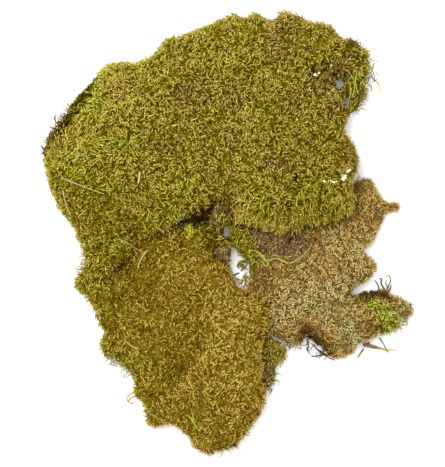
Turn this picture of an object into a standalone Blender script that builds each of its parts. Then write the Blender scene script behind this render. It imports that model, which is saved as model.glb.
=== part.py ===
"""A torn clump of sheet moss: three mats lying over each other, with peat, twigs and straws.

Metres, +Z up. The clump lies on its flat underside, on the plane Z = 0, with the middle of its
box above the origin. Outlines and heights below are in millimetres, seen from above.
"""

import bmesh
import bpy
import numpy as np
from mathutils import Vector, noise
from mathutils.bvhtree import BVHTree
from mathutils.geometry import delaunay_2d_cdt

MM = 0.001

# Heights from the floor to the tips of the shoots
UPPER_THICK = 21.0
LOWER_THICK = 13.5
RIGHT_THICK = 9.0
SCRAP_THICK = 8.5
CLOD_THICK = 10.0
SPRIG_THICK = 4.0

# Height of each mat where its top meets its side
UPPER_EDGE = 9.0
LOWER_EDGE = 6.5
RIGHT_EDGE = 4.5
SCRAP_EDGE = 3.5
CLOD_EDGE = 4.0
SPRIG_EDGE = 1.8

# How far in from its edge a mat takes to reach its full height
UPPER_SHOULDER = 24.0
LOWER_SHOULDER = 16.0
RIGHT_SHOULDER = 11.0
SCRAP_SHOULDER = 6.0
CLOD_SHOULDER = 6.0
SPRIG_SHOULDER = 3.0

# The upper mat's lip lies on tongues of the two mats below it
TONGUE_WEST = 10.0
TONGUE_EAST = 7.5
TONGUE_TURN_FROM = -20.0
TONGUE_TURN_TO = -6.0
TONGUE_CLEAR = 1.2
TONGUE_SLOPE = 1.1
LIP_GAP = 0.5
LIP_EDGE = 4.5
POCKET_RAMP = 3.0

# A mat's section: how far its top and its foot lie in from its widest line, and where that line is
TOP_INSET = 0.7
UNDERCUT = 1.1
SIDE_MIDDLE = 0.4
LEAST_RISE = 0.5

# The rounded tufts over every mat, with creases between them: how far across and how high
BROAD_TUFT = 17.0, 4.2
SMALL_TUFT = 8.5, 3.2
THIN_MAT_TUFTS = 0.4
TUFT_LEVEL = 0.25
TUFT_FADE = 4.0
TUFT_AT_EDGE = 0.15

# The tufts that stand in and out of a torn edge: how far across, their share and their slice
EDGE_TUFT = 0.75
EDGE_TUFTS = [(5.0, 1.0, 0), (2.6, 0.6, 7)]

# Along the tear the edges fit each other, so their tufts are small: within the first distance
# of the line they have the least height, and from the second on their full height
TEAR_LINE = [(-18, 6), (-8, 0), (0, -5), (4, -20), (11, -34), (22, -38), (25, -48), (24, -60)]
TEAR_NEAR = 5.0
TEAR_FAR = 10.0
TEAR_TUFT = 0.1

# Which slice of the tuft pattern each edge and each top is cut from
UPPER_SLICES = 1.5, 2.5
LOWER_SLICES = 4.5, 12.5
RIGHT_SLICES = 6.5, 22.5
SCRAP_SLICES = 8.5, 32.5
SPRIG_SLICE = 36.5
CLOD_SLICES = 42.5, 52.5

# How finely the solids are drawn
CURVE_FINE = 10
ROUTE_STEP = 2.0
EDGE_STEP = 3.4
SPRIG_STEP = 2.2
TOP_STEP = 4.0
RING_INSET = 2.4
RING_CLEAR = 0.6
POINT_GAP = 1.6
ROW_GAP = 1.4
CREASE_STEP = 2.4
GRID_OFF_EDGE = 0.75
GRID_OFF_ROWS = 0.6
POCKET_STEP = 4.0
POCKET_OFF_EDGE = 1.5
SAME_POINT = 1e-5

# How far the points of the lattice stray from it, and the slices of the pattern for X and Y
STRAY = 0.22
STRAY_SIZE = 6
STRAY_SLICES = 3, 9

# Twigs and straws
TWIG_SIDES = 7
STRAW_SIDES = 6
STRAW_STEP = 4.0
BENT_STEP = 2.5
STRAW_TIP = 0.7
SPUR_LIFT = 0.4
PRONG_LIFT = 0.15
SHARP_ANGLE = 50
REST_GAP = 0.4
REST_REACH = 1.0
RAY_FROM = 1000.0

# The upper mat, anticlockwise from the middle of its left side
UPPER_OUTLINE = [
    (-109, 43), (-108, 36), (-106, 30), (-105, 25), (-102, 19), (-99, 13), (-94, 7), (-91, 2),
    (-89, -3), (-86, -9), (-86, -16), (-87, -22), (-83, -27), (-77, -28), (-71, -26), (-67, -21),
    (-63, -17), (-59, -14), (-56, -8), (-51, -4), (-44, -1), (-37, 1), (-31, 5), (-27, 8),
    (-21, 9), (-16, 10), (-13, 12), (-11, 15), (-8, 19), (-4, 20), (0, 19), (3, 15), (4, 10),
    (6, 6), (12, 6), (17, 5), (22, 4), (27, 2), (33, 1), (38, 1), (42, 3), (47, 5), (54, 6),
    (61, 8), (67, 10), (72, 12), (75, 17), (76, 23), (75, 29), (76, 33), (78, 37), (79, 43),
    (78, 49), (77, 53), (74, 57), (71, 61), (72, 65), (74, 69), (76, 72), (80, 76), (81, 81),
    (83, 87), (84, 93), (86, 98), (86, 104), (85, 109), (80, 112), (79, 116), (74, 117), (70, 116),
    (67, 120), (62, 124), (56, 126), (50, 127), (45, 130), (39, 132), (33, 133), (29, 130),
    (25, 128), (19, 131), (14, 132), (10, 129), (4, 131), (-2, 128), (-9, 125), (-17, 122),
    (-25, 119), (-34, 116), (-40, 112), (-44, 107), (-50, 103), (-57, 101), (-64, 102),
    (-71, 101), (-76, 97), (-80, 91), (-85, 85), (-90, 80), (-94, 74), (-97, 68), (-100, 63),
    (-104, 58), (-107, 51),
]

# The golden mat below it, anticlockwise from its upper left corner
LOWER_OUTLINE = [
    (-84, -18), (-87, -23), (-90, -28), (-89, -33), (-84, -38), (-81, -43), (-79, -48),
    (-76, -54), (-74, -60), (-75, -66), (-73, -71), (-67, -75), (-62, -80), (-57, -85),
    (-55, -91), (-53, -98), (-49, -102), (-48, -109), (-48, -116), (-41, -117), (-34, -115),
    (-29, -119), (-23, -123), (-21, -129), (-16, -132), (-10, -133), (-3, -131), (4, -129),
    (9, -124), (13, -120), (16, -114), (20, -109), (23, -101), (21, -95), (20, -87), (20, -79),
    (20, -71), (21.2, -63), (23.6, -55), (24.6, -47.4), (22.6, -40.6), (16, -37), (10.4, -35.2),
    (6, -31), (3.4, -27), (2, -22.6), (0, -18.6), (-5, -18.2), (-9.4, -15.4), (-10.4, -10.8),
    (-9, -7.4), (-4.4, -6.2), (-0.4, -6.3), (2.9, -5.9), (2.4, -3.2), (-0.6, -2.4), (-4.6, -2.6),
    (-8.6, -0.6), (-11.9, 1.9), (-15.4, 4.8), (-19, 3.8), (-23, 3.2), (-27, 3.8), (-30.5, 5.4),
    (-35, 7), (-42, 7.5), (-52, 5), (-60, 1), (-66, -6), (-72, -11), (-79, -14),
]

# The dry mat on the right, anticlockwise from the top of the hole
RIGHT_OUTLINE = [
    (4.6, -5), (5, -8), (7.5, -11.5), (10, -14), (13.7, -18), (14.6, -22), (14, -26.5),
    (12.6, -30.5), (12.2, -34.2), (17.2, -35.8),
    (23.8, -39.2), (25.6, -43.5), (25.7, -49), (24.8, -55), (24.4, -60), (29, -62.6), (35, -65),
    (41, -67), (45, -65), (47, -61.5), (51, -65), (56, -69), (61, -73), (66, -76), (72, -74),
    (77, -71), (79, -67), (84, -65), (90, -62), (96, -60), (101, -57), (104, -53), (110, -50),
    (112, -45), (109, -41), (104, -38), (99, -38), (96, -35), (90, -34.5), (83, -35.5),
    (77, -37.5), (73, -37.5), (74.5, -34.5), (79, -32), (84, -29), (88, -25), (90, -20),
    (87, -15), (83, -12), (80.5, -10.5), (85, -8), (89, -4), (90, 1), (93, 6), (95, 12),
    (99, 13), (103, 14), (103.5, 17), (99, 18.5), (95, 19), (92, 23), (89, 28), (86, 32.5),
    (80, 31.5), (74, 28), (67, 24), (58, 19), (48, 15), (35, 12), (22, 13), (12, 11), (8.6, 7.4),
    (5, 5.4), (2.2, 4.2), (1.2, 1), (3, -2),
]

# A small scrap of moss with bare peat at its lower end, to the right of the fold
SCRAP_OUTLINE = [
    (21.8, -64), (21.4, -71), (21.6, -80), (21.8, -89), (22.6, -95.5), (26, -93), (28.5, -88),
    (30, -81), (33, -76), (34.5, -71), (32, -67.6), (27, -65),
]

# A loose sprig of moss on the floor of the hole
SPRIG_OUTLINE = [
    (5.6, -19), (6.6, -21.6), (9, -22.8), (11, -21.6), (11.8, -19.4), (10.6, -17.4), (7.6, -17.2),
]

# Clods of peat in the tear between the mats
UPPER_CLOD_OUTLINE = [
    (-15.2, 8), (-14, 5), (-11, 2.7), (-7.9, 0.6), (-4.8, -1.4), (-2.8, -1), (-2.4, 1.5),
    (-1.2, 4.6), (1.6, 6), (4.4, 8), (5.6, 12), (4.8, 17.4), (0, 21), (-6, 21.5), (-10.5, 18.5),
    (-13.4, 13),
]
LOWER_CLOD_OUTLINE = [
    (-8.6, -8.6), (-9.5, -11.4), (-8.5, -14.6), (-4.8, -17.3), (-0.6, -17.6), (1.5, -14), (2.6, -10),
    (2.4, -7.5), (-0.6, -7.3), (-4.5, -7.1),
]

# The line north of which the upper mat's underside lies on the floor
POCKET_LINE = [
    (-100, -6), (-84, -8), (-74, -7), (-68, -1), (-62, 6), (-54, 10), (-42, 12), (-33, 12),
    (-22, 15), (-15, 22), (-8, 26), (2, 26), (10, 18), (22, 19), (36, 18), (48, 21), (58, 26),
    (66, 31), (72, 35), (90, 40),
]

# Swells and hollows: X, Y, reach and height
UPPER_SWELLS = [
    (-38, 72, 46, 3.5), (-78, 52, 22, 2.0), (14, 92, 36, 3.0), (38, 52, 26, 2.0), (-20, 30, 24, 1.5),
    (24, 22, 17, 2.5), (58, 22, 13, 1.5), (-72, 16, 14, -3.0), (-95, 22, 10, -2.5),
    (-57, 22, 13, 1.5), (-76, -14, 12, -1.5), (78, 94, 15, -9.0), (76, 111, 8, -5.0),
    (67, 92, 7, -7.0), (53, 93, 3, -3.0), (73, 78, 4, -5.0), (-68, 97, 8, -2.0), (26, 126, 5, -2.5),
    (-2, 27, 9, -2.5), (-92, 68, 8, -4.0), (0, 62, 22, -1.2), (69, 34, 4, -2.5),
]
LOWER_SWELLS = [
    (-66, -44, 17, 1.5), (-42, -52, 20, 1.0), (-30, -82, 9, -2.5), (-62, -18, 6, -4.0),
    (-44, -92, 11, -1.0), (-38, -107, 8, -1.5), (-10, -30, 18, 1.0), (-8, -118, 12, -1.5),
    (-22, -100, 7, -1.5), (6, -18, 7, -3.0),
]
RIGHT_SWELLS = [
    (34, -50, 13, 1.5), (66, -48, 17, 1.5), (94, -48, 9, 3.0), (62, -16, 17, 1.0),
    (32, -5, 11, -1.5), (82, 18, 9, 0.8), (84, -36.5, 5, -3.0), (60, -66, 8, -2.0),
    (99, 16, 5, -2.0), (10, -3, 7, 2.0),
]
SCRAP_SWELLS = [(26, -86, 8, -3.0), (28, -70, 6, 1.5)]
CLOD_SWELLS = [(-8, 12, 4, 1.5), (0, 12, 4, -1.5)]

# The lower mat's fold: a flap of its own growth that lies over it, higher than the rest
FOLD_HEIGHT = 5.5
FOLD_SHOULDER = 8.0
FOLD_STEP = 3.0
FOLD_ROW_STEP = 3.2
FOLD_OUTLINE = [
    (-8, -42), (-11, -52), (-11, -62), (-14, -70), (-18, -78), (-25, -86), (-36, -95), (-40, -103),
    (-28, -104), (-16, -102), (-6, -107), (6, -112), (15, -108), (22, -100), (20, -87), (20, -71),
    (23, -55), (23, -43), (12, -38), (0, -38),
]

# Cracks and creases: points, width and depth
UPPER_CREASES = [
    ([(42, 33), (39, 26), (37, 20), (35, 14)], 2.2, 4.5),
    ([(-62, 12), (-60, 5), (-56, -2)], 2.4, 4.0),
    ([(-86, 27), (-79, 23), (-73, 17)], 2.4, 3.5),
    ([(-100, 31), (-96, 22), (-90, 10)], 2.6, 2.5),
    ([(28, 20), (25, 13), (22, 8)], 2.2, 2.5),
    ([(60, 22), (57, 15), (55, 10)], 2.2, 2.5),
    ([(-82, -6), (-72, -8), (-66, -14)], 2.6, 3.0),
    ([(71, 84), (73, 78), (75, 73)], 2.4, 4.0),
    ([(66, 64), (60, 66), (52, 62)], 3.0, 1.5),
]
LOWER_CREASES = [
    ([(-60, -10), (-61, -17), (-66, -22)], 2.6, 4.0),
    ([(-50, -103), (-40, -110), (-33, -114)], 2.6, 2.5),
    ([(-22, -98), (-12, -96), (-2, -92)], 3.0, 1.8),
    ([(-20, -124), (-12, -116), (-10, -108)], 2.6, 1.8),
]
RIGHT_CREASES = [
    ([(39, 0), (38, -5), (36, -10)], 2.0, 2.5),
    ([(49, -46), (48, -54), (44, -61)], 2.2, 2.5),
    ([(86, -40), (92, -40), (99, -42)], 2.2, 1.8),
    ([(84, -56), (92, -55), (99, -53)], 2.2, 1.8),
]

# Twigs on the floor and straws on the moss: points from end to end, and the radius at each.
# The thin twig's far end lies over the forked twig, so it rises that much from the floor.
FORKED_TWIG = [(81.8, -67.4), (85, -68), (89, -69), (95, -70.2), (103, -71)]
FORKED_TWIG_RADII = [1.1, 1.3, 1.0, 0.6, 0.4]
TWIG_SPUR = [(84.4, -68), (85, -67), (86, -65.9)]
TWIG_SPUR_RADII = [0.7, 0.6, 0.4]
TWIG_PRONG = [(93, -69.8), (95.6, -71.1), (98.4, -72.4)]
TWIG_PRONG_RADII = [0.6, 0.5, 0.4]
THIN_TWIG = [(91.8, -63.2), (93.9, -66.4), (95.4, -69.4), (96.4, -71.4)]
THIN_TWIG_RADII = [0.5, 0.45, 0.4, 0.3]
THIN_TWIG_RISE = 1.8
SHORT_TWIG = [(82.6, -69.6), (81, -72), (78.6, -75.6)]
SHORT_TWIG_RADII = [0.5, 0.5, 0.4]
LONG_STRAW = [(-99, 33), (-92, 30), (-84, 27), (-73, 23)]
LONG_STRAW_RADIUS = 0.5
BENT_STRAW = [(-98, 26), (-97, 20), (-95.5, 15), (-93, 10)]
BENT_STRAW_RADIUS = 0.55
WHITE_STRAW = [(-51.8, 36), (-52.2, 32.5), (-52.8, 29)]
WHITE_STRAW_RADIUS = 0.5
MIDDLE_STRAW = [(-47.5, -10), (-50, -13), (-52.4, -17), (-53.5, -21)]
MIDDLE_STRAW_RADIUS = 0.5
BROWN_CHIP = [(-47.4, 81.8), (-45, 78.8), (-42.6, 75.4)]
BROWN_CHIP_RADIUS = 0.7
PALE_RUNNER = [
    (13, -10), (17, -11), (20.5, -13), (22, -16), (24, -17.6), (26, -15.8), (29.5, -15),
    (32, -16.6), (36, -18), (41, -16.6), (45, -13),
]
PALE_RUNNER_RADIUS = 0.6

# Colour, then roughness
GREEN_MOSS = (0.20, 0.19, 0.035), 0.95
GOLDEN_MOSS = (0.23, 0.17, 0.035), 0.95
DRY_MOSS = (0.24, 0.18, 0.08), 0.97
PEAT = (0.075, 0.055, 0.038), 1.0
BARK = (0.15, 0.10, 0.065), 0.85
STRAW = (0.48, 0.36, 0.20), 0.7
PALE_STEM = (0.42, 0.40, 0.12), 0.75


def clear_scene():
    for thing in list(bpy.data.objects):
        bpy.data.objects.remove(thing)


def finish(name, look):
    """A material with one colour and roughness."""
    colour, roughness = look
    material = bpy.data.materials.new(name)
    material.use_nodes = True
    shader = material.node_tree.nodes["Principled BSDF"]
    shader.inputs["Base Color"].default_value = (*colour, 1.0)
    shader.inputs["Roughness"].default_value = roughness
    shader.inputs["Metallic"].default_value = 0.0
    return material


def smooth_line(points, closed, step):
    """Even steps along a smooth curve through points set by hand."""
    p = np.array(points, float)
    if closed:
        p = np.vstack([p[-1:], p, p[:2]])
    else:
        p = np.vstack([2 * p[0] - p[1], p, 2 * p[-1] - p[-2]])
    fine = []
    for a, b, c, d in zip(p, p[1:], p[2:], p[3:]):
        for t in np.linspace(0, 1, CURVE_FINE, endpoint=False):
            bend = (2 * a - 5 * b + 4 * c - d) * t**2 + (3 * b - a - 3 * c + d) * t**3
            fine.append((2 * b + (c - a) * t + bend) / 2)
    fine.append(fine[0] if closed else p[-2])
    fine = np.array(fine)
    along = np.concatenate([[0], np.cumsum(np.linalg.norm(np.diff(fine, axis=0), axis=1))])
    count = max(int(round(along[-1] / step)), 2)
    at = np.linspace(0, along[-1], count + 1)
    if closed:
        at = at[:-1]
    return np.stack([np.interp(at, along, fine[:, axis]) for axis in range(fine.shape[1])], 1)


def outward(line):
    """The outward direction at each point of an anticlockwise outline."""
    along = np.roll(line, -1, axis=0) - np.roll(line, 1, axis=0)
    along /= np.linalg.norm(along, axis=1)[:, None]
    return np.stack([along[:, 1], -along[:, 0]], 1)


def pattern(points, size, slice_at):
    """Smooth noise between about -1 and 1, whose swells are about `size` across."""
    return np.array([noise.noise(Vector((x / size, y / size, slice_at))) for x, y in points])


def torn_edge(points, slice_at):
    """A smooth outline with small tufts that stand in and out of it."""
    line = smooth_line(points, True, EDGE_STEP)
    tufts = sum(share * pattern(line, size, slice_at + up) for size, share, up in EDGE_TUFTS)
    gap = nearest(line, smooth_line(TEAR_LINE, False, ROUTE_STEP), False)
    calm = np.clip((gap - TEAR_NEAR) / (TEAR_FAR - TEAR_NEAR), TEAR_TUFT, 1)
    return line + outward(line) * (EDGE_TUFT * tufts * calm)[:, None]


def nearest(points, line, closed):
    """The distance from each point to a line of straight pieces."""
    ends = np.roll(line, -1, axis=0) if closed else line[1:]
    starts = line if closed else line[:-1]
    run = ends - starts
    away = points[:, None] - starts[None]
    part = np.clip((away * run).sum(2) / (run * run).sum(1), 0, 1)
    return np.linalg.norm(away - part[:, :, None] * run[None], axis=2).min(1)


def inside(points, line):
    """Which points an outline goes round."""
    ax, ay = line[:, 0], line[:, 1]
    bx, by = np.roll(ax, -1), np.roll(ay, -1)
    x, y = points[:, :1], points[:, 1:]
    crosses = (ay > y) != (by > y)
    with np.errstate(divide="ignore", invalid="ignore"):
        left = x < (bx - ax) * (y - ay) / (by - ay) + ax
    return (crosses & left).sum(1) % 2 == 1


def apart(points, others, least):
    """The points that are at least so far from the others."""
    if len(points) == 0 or len(others) == 0:
        return points
    gap = np.linalg.norm(points[:, None] - others[None], axis=2).min(1)
    return points[gap >= least]


def thinned(points, least):
    """A row of points with none closer to the one before than so far."""
    kept = []
    for point in points:
        if not kept or min(np.linalg.norm(point - other) for other in kept) >= least:
            kept.append(point)
    return np.array(kept).reshape(-1, 2)


def lattice(line, step):
    """A triangular lattice of points inside an outline."""
    low, high = line.min(0), line.max(0)
    rows = []
    for row, y in enumerate(np.arange(low[1], high[1], step * np.sqrt(3) / 2)):
        shift = step / 2 * (row % 2)
        rows += [(x, y) for x in np.arange(low[0] + shift, high[0], step)]
    points = np.array(rows)
    stray = np.stack([pattern(points, STRAY_SIZE, at) for at in STRAY_SLICES], 1)
    points = points + STRAY * step * stray
    return points[inside(points, line)]


def relief(points, swells, creases):
    """The height that swells, hollows, cracks and creases add."""
    height = np.zeros(len(points))
    for x, y, reach, rise in swells:
        square = ((points - (x, y)) ** 2).sum(1)
        height += rise * np.exp(-square / reach**2)
    for route, width, depth in creases:
        gap = nearest(points, smooth_line(route, False, ROUTE_STEP), False)
        height -= depth * np.exp(-((gap / width) ** 2))
    return height


def shoulder(distance, width):
    """0 at the edge and 1 from so far in, round like a quarter of an ellipse."""
    left = np.clip(1 - distance / width, 0, 1)
    return np.sqrt(1 - left * left)


def tongue(points):
    """The height of the tongues that the upper mat's lip lies on."""
    turn = (points[:, 0] - TONGUE_TURN_FROM) / (TONGUE_TURN_TO - TONGUE_TURN_FROM)
    return TONGUE_WEST + (TONGUE_EAST - TONGUE_WEST) * np.clip(turn, 0, 1)


def north_of_pocket(points):
    """How far each point lies north of the pocket line, less than 0 to its south."""
    line = np.array(POCKET_LINE, float)
    gap = nearest(points, smooth_line(line, False, ROUTE_STEP), False)
    north = points[:, 1] > np.interp(points[:, 0], line[:, 0], line[:, 1])
    return np.where(north, gap, -gap)


def upper_under(points):
    """The underside of the upper mat: the floor, and the pocket over the other mats."""
    raised = tongue(points) + LIP_GAP
    return raised * np.clip(1 - north_of_pocket(points) / POCKET_RAMP, 0, 1)


def floor(points):
    """The underside of a mat that lies flat."""
    return np.zeros(len(points))


def top_height(points, edge_gap, under, shape):
    """The top of a mat, from its thickness, its shoulder, its relief and its small tufts."""
    edge = np.maximum(shape["edge"], under + LIP_EDGE)
    full = shape["thick"] + relief(points, shape["swells"], shape["creases"])
    full = np.maximum(full, edge + LEAST_RISE)
    height = edge + (full - edge) * shoulder(edge_gap, shape["shoulder"])
    share = THIN_MAT_TUFTS + (1 - THIN_MAT_TUFTS) * shape["thick"] / UPPER_THICK
    fade = np.clip(edge_gap / TUFT_FADE, TUFT_AT_EDGE, 1)
    for size, rise in (BROAD_TUFT, SMALL_TUFT):
        tufts = np.abs(pattern(points, size, shape["slice"] + size)) - TUFT_LEVEL
        height += share * rise * tufts * fade
    return height


def under_the_lip(points, height):
    """Keeps a mat or a clod clear of the upper mat's lip, which it carries."""
    beyond = nearest(points, UPPER_EDGE_LINE, True)
    beyond[inside(points, UPPER_EDGE_LINE)] = 0
    limit = tongue(points) + TONGUE_SLOPE * np.maximum(beyond - TONGUE_CLEAR, 0)
    return np.minimum(height, limit)


def fold(points, height):
    """The lower mat's flap, which lies on it like a second thickness."""
    line = smooth_line(FOLD_OUTLINE, True, FOLD_STEP)
    gap = nearest(points, line, True)
    gap[~inside(points, line)] = 0
    return height + FOLD_HEIGHT * shoulder(gap, FOLD_SHOULDER)


def triangles(edge, rows):
    """Triangles between a closed edge and rows of points inside it."""
    points = np.vstack([edge, *[row for row in rows if len(row)]])
    count = len(edge)
    ring = [(i, (i + 1) % count) for i in range(count)]
    flat = [Vector((x, y)) for x, y in points]
    found, _, faces, origin, _, _ = delaunay_2d_cdt(flat, ring, [], 1, SAME_POINT)
    if len(found) != len(points):
        raise ValueError("an edge crosses itself")
    order = [sources[0] for sources in origin]
    return points, [[order[i] for i in face] for face in faces]


def mat_mesh(name, edge, shape, rows=(), under=floor, limits=()):
    """A closed mat: its top, its side in two bands and its underside."""
    side = outward(edge)
    rim = edge - side * TOP_INSET
    foot = edge - side * UNDERCUT
    gap_to = lambda points: nearest(points, rim, True)

    ring = edge - side * RING_INSET
    clear = gap_to(ring) > RING_CLEAR * RING_INSET
    fixed = thinned(ring[inside(ring, rim) & clear], POINT_GAP)
    creases = [smooth_line(route, False, CREASE_STEP) for route, _, _ in shape["creases"]]
    for row in [*rows, *creases]:
        row = thinned(row[inside(row, rim) & (gap_to(row) > POINT_GAP)], POINT_GAP)
        fixed = np.vstack([fixed, apart(row, fixed, ROW_GAP)])
    grid = lattice(rim, TOP_STEP)
    grid = grid[gap_to(grid) > GRID_OFF_EDGE * TOP_STEP]
    top, top_faces = triangles(rim, [fixed, apart(grid, fixed, GRID_OFF_ROWS * TOP_STEP)])

    height = top_height(top, gap_to(top), under(top), shape)
    for limit in limits:
        height = limit(top, height)

    foot_rows = []
    if under is not floor:
        line = smooth_line(POCKET_LINE, False, POCKET_STEP)
        for shift in (0.0, POCKET_RAMP):
            row = line + np.array([0, shift])
            near = inside(row, foot) & (nearest(row, foot, True) > POCKET_OFF_EDGE)
            foot_rows.append(row[near])
    base, base_faces = triangles(foot, foot_rows)
    base_height = under(base)

    mesh = bmesh.new()
    add = lambda place, z: mesh.verts.new((place[0] * MM, place[1] * MM, z * MM))
    top_verts = [add(place, z) for place, z in zip(top, height)]
    base_verts = [add(place, z) for place, z in zip(base, base_height)]
    count = len(edge)
    mid_height = base_height[:count] + (height[:count] - base_height[:count]) * SIDE_MIDDLE
    middle = [add(place, z) for place, z in zip(edge, mid_height)]

    for face in top_faces:
        mesh.faces.new([top_verts[i] for i in face])
    for face in base_faces:
        mesh.faces.new([base_verts[i] for i in reversed(face)])
    for i in range(count):
        j = (i + 1) % count
        for low, high in ((base_verts, middle), (middle, top_verts)):
            mesh.faces.new([low[i], low[j], high[j], high[i]])
    bmesh.ops.triangulate(mesh, faces=[face for face in mesh.faces if len(face.verts) > 3])
    bmesh.ops.recalc_face_normals(mesh, faces=mesh.faces)
    thing = keep(name, mesh)
    thing.data.shade_smooth()
    return thing


def keep(name, mesh):
    """Turns mesh code's result into an object of that name."""
    data = bpy.data.meshes.new(name)
    mesh.to_mesh(data)
    mesh.free()
    thing = bpy.data.objects.new(name, data)
    bpy.context.collection.objects.link(thing)
    return thing


def shape_of(thick, edge, width, swells, creases, slice_at):
    """What sets the form of a mat's top."""
    return {
        "thick": thick,
        "edge": edge,
        "shoulder": width,
        "swells": swells,
        "creases": creases,
        "slice": slice_at,
    }


UPPER_EDGE_LINE = torn_edge(UPPER_OUTLINE, UPPER_SLICES[0])
LIP_ROW = UPPER_EDGE_LINE + outward(UPPER_EDGE_LINE) * TONGUE_CLEAR


def upper_mat():
    form = UPPER_THICK, UPPER_EDGE, UPPER_SHOULDER, UPPER_SWELLS, UPPER_CREASES
    shape = shape_of(*form, UPPER_SLICES[1])
    thing = mat_mesh("upper_mat", UPPER_EDGE_LINE, shape, under=upper_under)
    thing.data.materials.append(finish("green_moss", GREEN_MOSS))
    return thing


def lower_mat():
    form = LOWER_THICK, LOWER_EDGE, LOWER_SHOULDER, LOWER_SWELLS, LOWER_CREASES
    shape = shape_of(*form, LOWER_SLICES[1])
    edge = torn_edge(LOWER_OUTLINE, LOWER_SLICES[0])
    rows = [LIP_ROW, smooth_line(FOLD_OUTLINE, True, FOLD_ROW_STEP)]
    thing = mat_mesh("lower_mat", edge, shape, rows, limits=(fold, under_the_lip))
    thing.data.materials.append(finish("golden_moss", GOLDEN_MOSS))
    return thing


def right_mat():
    form = RIGHT_THICK, RIGHT_EDGE, RIGHT_SHOULDER, RIGHT_SWELLS, RIGHT_CREASES
    shape = shape_of(*form, RIGHT_SLICES[1])
    edge = torn_edge(RIGHT_OUTLINE, RIGHT_SLICES[0])
    thing = mat_mesh("right_mat", edge, shape, [LIP_ROW], limits=(under_the_lip,))
    thing.data.materials.append(finish("dry_moss", DRY_MOSS))
    return thing


def side_scrap():
    shape = shape_of(SCRAP_THICK, SCRAP_EDGE, SCRAP_SHOULDER, SCRAP_SWELLS, [], SCRAP_SLICES[1])
    thing = mat_mesh("side_scrap", torn_edge(SCRAP_OUTLINE, SCRAP_SLICES[0]), shape)
    thing.data.materials.append(finish("scrap_moss", GREEN_MOSS))
    return thing


def loose_sprig():
    shape = shape_of(SPRIG_THICK, SPRIG_EDGE, SPRIG_SHOULDER, [], [], SPRIG_SLICE)
    thing = mat_mesh("loose_sprig", smooth_line(SPRIG_OUTLINE, True, SPRIG_STEP), shape)
    thing.data.materials.append(finish("sprig_moss", GREEN_MOSS))
    return thing


def peat_clod(name, outline, slice_at):
    shape = shape_of(CLOD_THICK, CLOD_EDGE, CLOD_SHOULDER, CLOD_SWELLS, [], slice_at)
    edge = smooth_line(outline, True, EDGE_STEP)
    thing = mat_mesh(name, edge, shape, limits=(under_the_lip,))
    thing.data.materials.append(finish("peat", PEAT))
    return thing


def stem(name, route, radii, sides):
    """A closed round stem along a route, its thickness changing from point to point."""
    centre = np.array(route)
    along = np.gradient(centre, axis=0)
    along /= np.linalg.norm(along, axis=1)[:, None]
    across = np.cross(along, (0, 0, 1))
    across /= np.linalg.norm(across, axis=1)[:, None]
    above = np.cross(across, along)
    mesh = bmesh.new()
    rings = []
    for place, right, high, radius in zip(centre, across, above, radii):
        ring = []
        for step in range(sides):
            turn = 2 * np.pi * step / sides
            spot = place + radius * (np.cos(turn) * right + np.sin(turn) * high)
            ring.append(mesh.verts.new(spot * MM))
        rings.append(ring)
    for low, high in zip(rings, rings[1:]):
        for i in range(sides):
            j = (i + 1) % sides
            mesh.faces.new([low[i], low[j], high[j], high[i]])
    mesh.faces.new(rings[0])
    mesh.faces.new(rings[-1])
    bmesh.ops.recalc_face_normals(mesh, faces=mesh.faces)
    thing = keep(name, mesh)
    thing.data.shade_smooth()
    thing.data.set_sharp_from_angle(angle=np.radians(SHARP_ANGLE))
    return thing


def on_the_floor(points, radii, rise=0.0):
    """A route whose stem touches the floor along its length, or rises evenly from it."""
    route = smooth_line([(x, y, r) for (x, y), r in zip(points, radii)], False, ROUTE_STEP)
    radii = route[:, 2].copy()
    route[:, 2] += np.linspace(0, rise, len(route))
    return route, radii


def on_the_moss(points, radius, mats, step):
    """A route over the mats, its stem just clear of every lump below it."""
    trees = [BVHTree.FromObject(mat, bpy.context.evaluated_depsgraph_get()) for mat in mats]
    flat = smooth_line(points, False, step)
    route = []
    for x, y in flat:
        reach = radius + REST_REACH
        below = []
        for dx in (-reach, 0, reach):
            for dy in (-reach, 0, reach):
                start = Vector((x + dx, y + dy, RAY_FROM)) * MM
                hits = [tree.ray_cast(start, Vector((0, 0, -1)))[0] for tree in trees]
                below += [hit.z / MM for hit in hits if hit]
        route.append((x, y, max(below) + radius + REST_GAP))
    return np.array(route)


def side_stem(thing, name, points, widths, lift):
    """A stem that grows from the side of another and is one solid with it."""
    route, radii = on_the_floor(points, widths)
    side = stem(name, route + np.array([0, 0, lift]), radii, TWIG_SIDES)
    side.hide_render = True
    side.display_type = "WIRE"
    join = thing.modifiers.new(f"join_{name}", "BOOLEAN")
    join.operation = "UNION"
    join.object = side
    return side


def forked_twig():
    """The thickest twig, with a short spur and a prong that grow from it."""
    route, radii = on_the_floor(FORKED_TWIG, FORKED_TWIG_RADII)
    thing = stem("forked_twig", route, radii, TWIG_SIDES)
    thing.data.materials.append(finish("bark", BARK))
    spur = side_stem(thing, "twig_spur", TWIG_SPUR, TWIG_SPUR_RADII, SPUR_LIFT)
    prong = side_stem(thing, "twig_prong", TWIG_PRONG, TWIG_PRONG_RADII, PRONG_LIFT)
    return [thing, spur, prong]


def floor_twig(name, points, widths, rise=0.0):
    route, radii = on_the_floor(points, widths, rise)
    thing = stem(name, route, radii, TWIG_SIDES)
    thing.data.materials.append(finish(f"{name}_bark", BARK))
    return thing


def straw(name, points, radius, mats, look, step=STRAW_STEP):
    """A straw over the mats, thinner towards its tip."""
    route = on_the_moss(points, radius, mats, step)
    taper = np.linspace(1.0, STRAW_TIP, len(route))
    thing = stem(name, route, radius * taper, STRAW_SIDES)
    thing.data.materials.append(finish(f"{name}_skin", look))
    return thing


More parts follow.
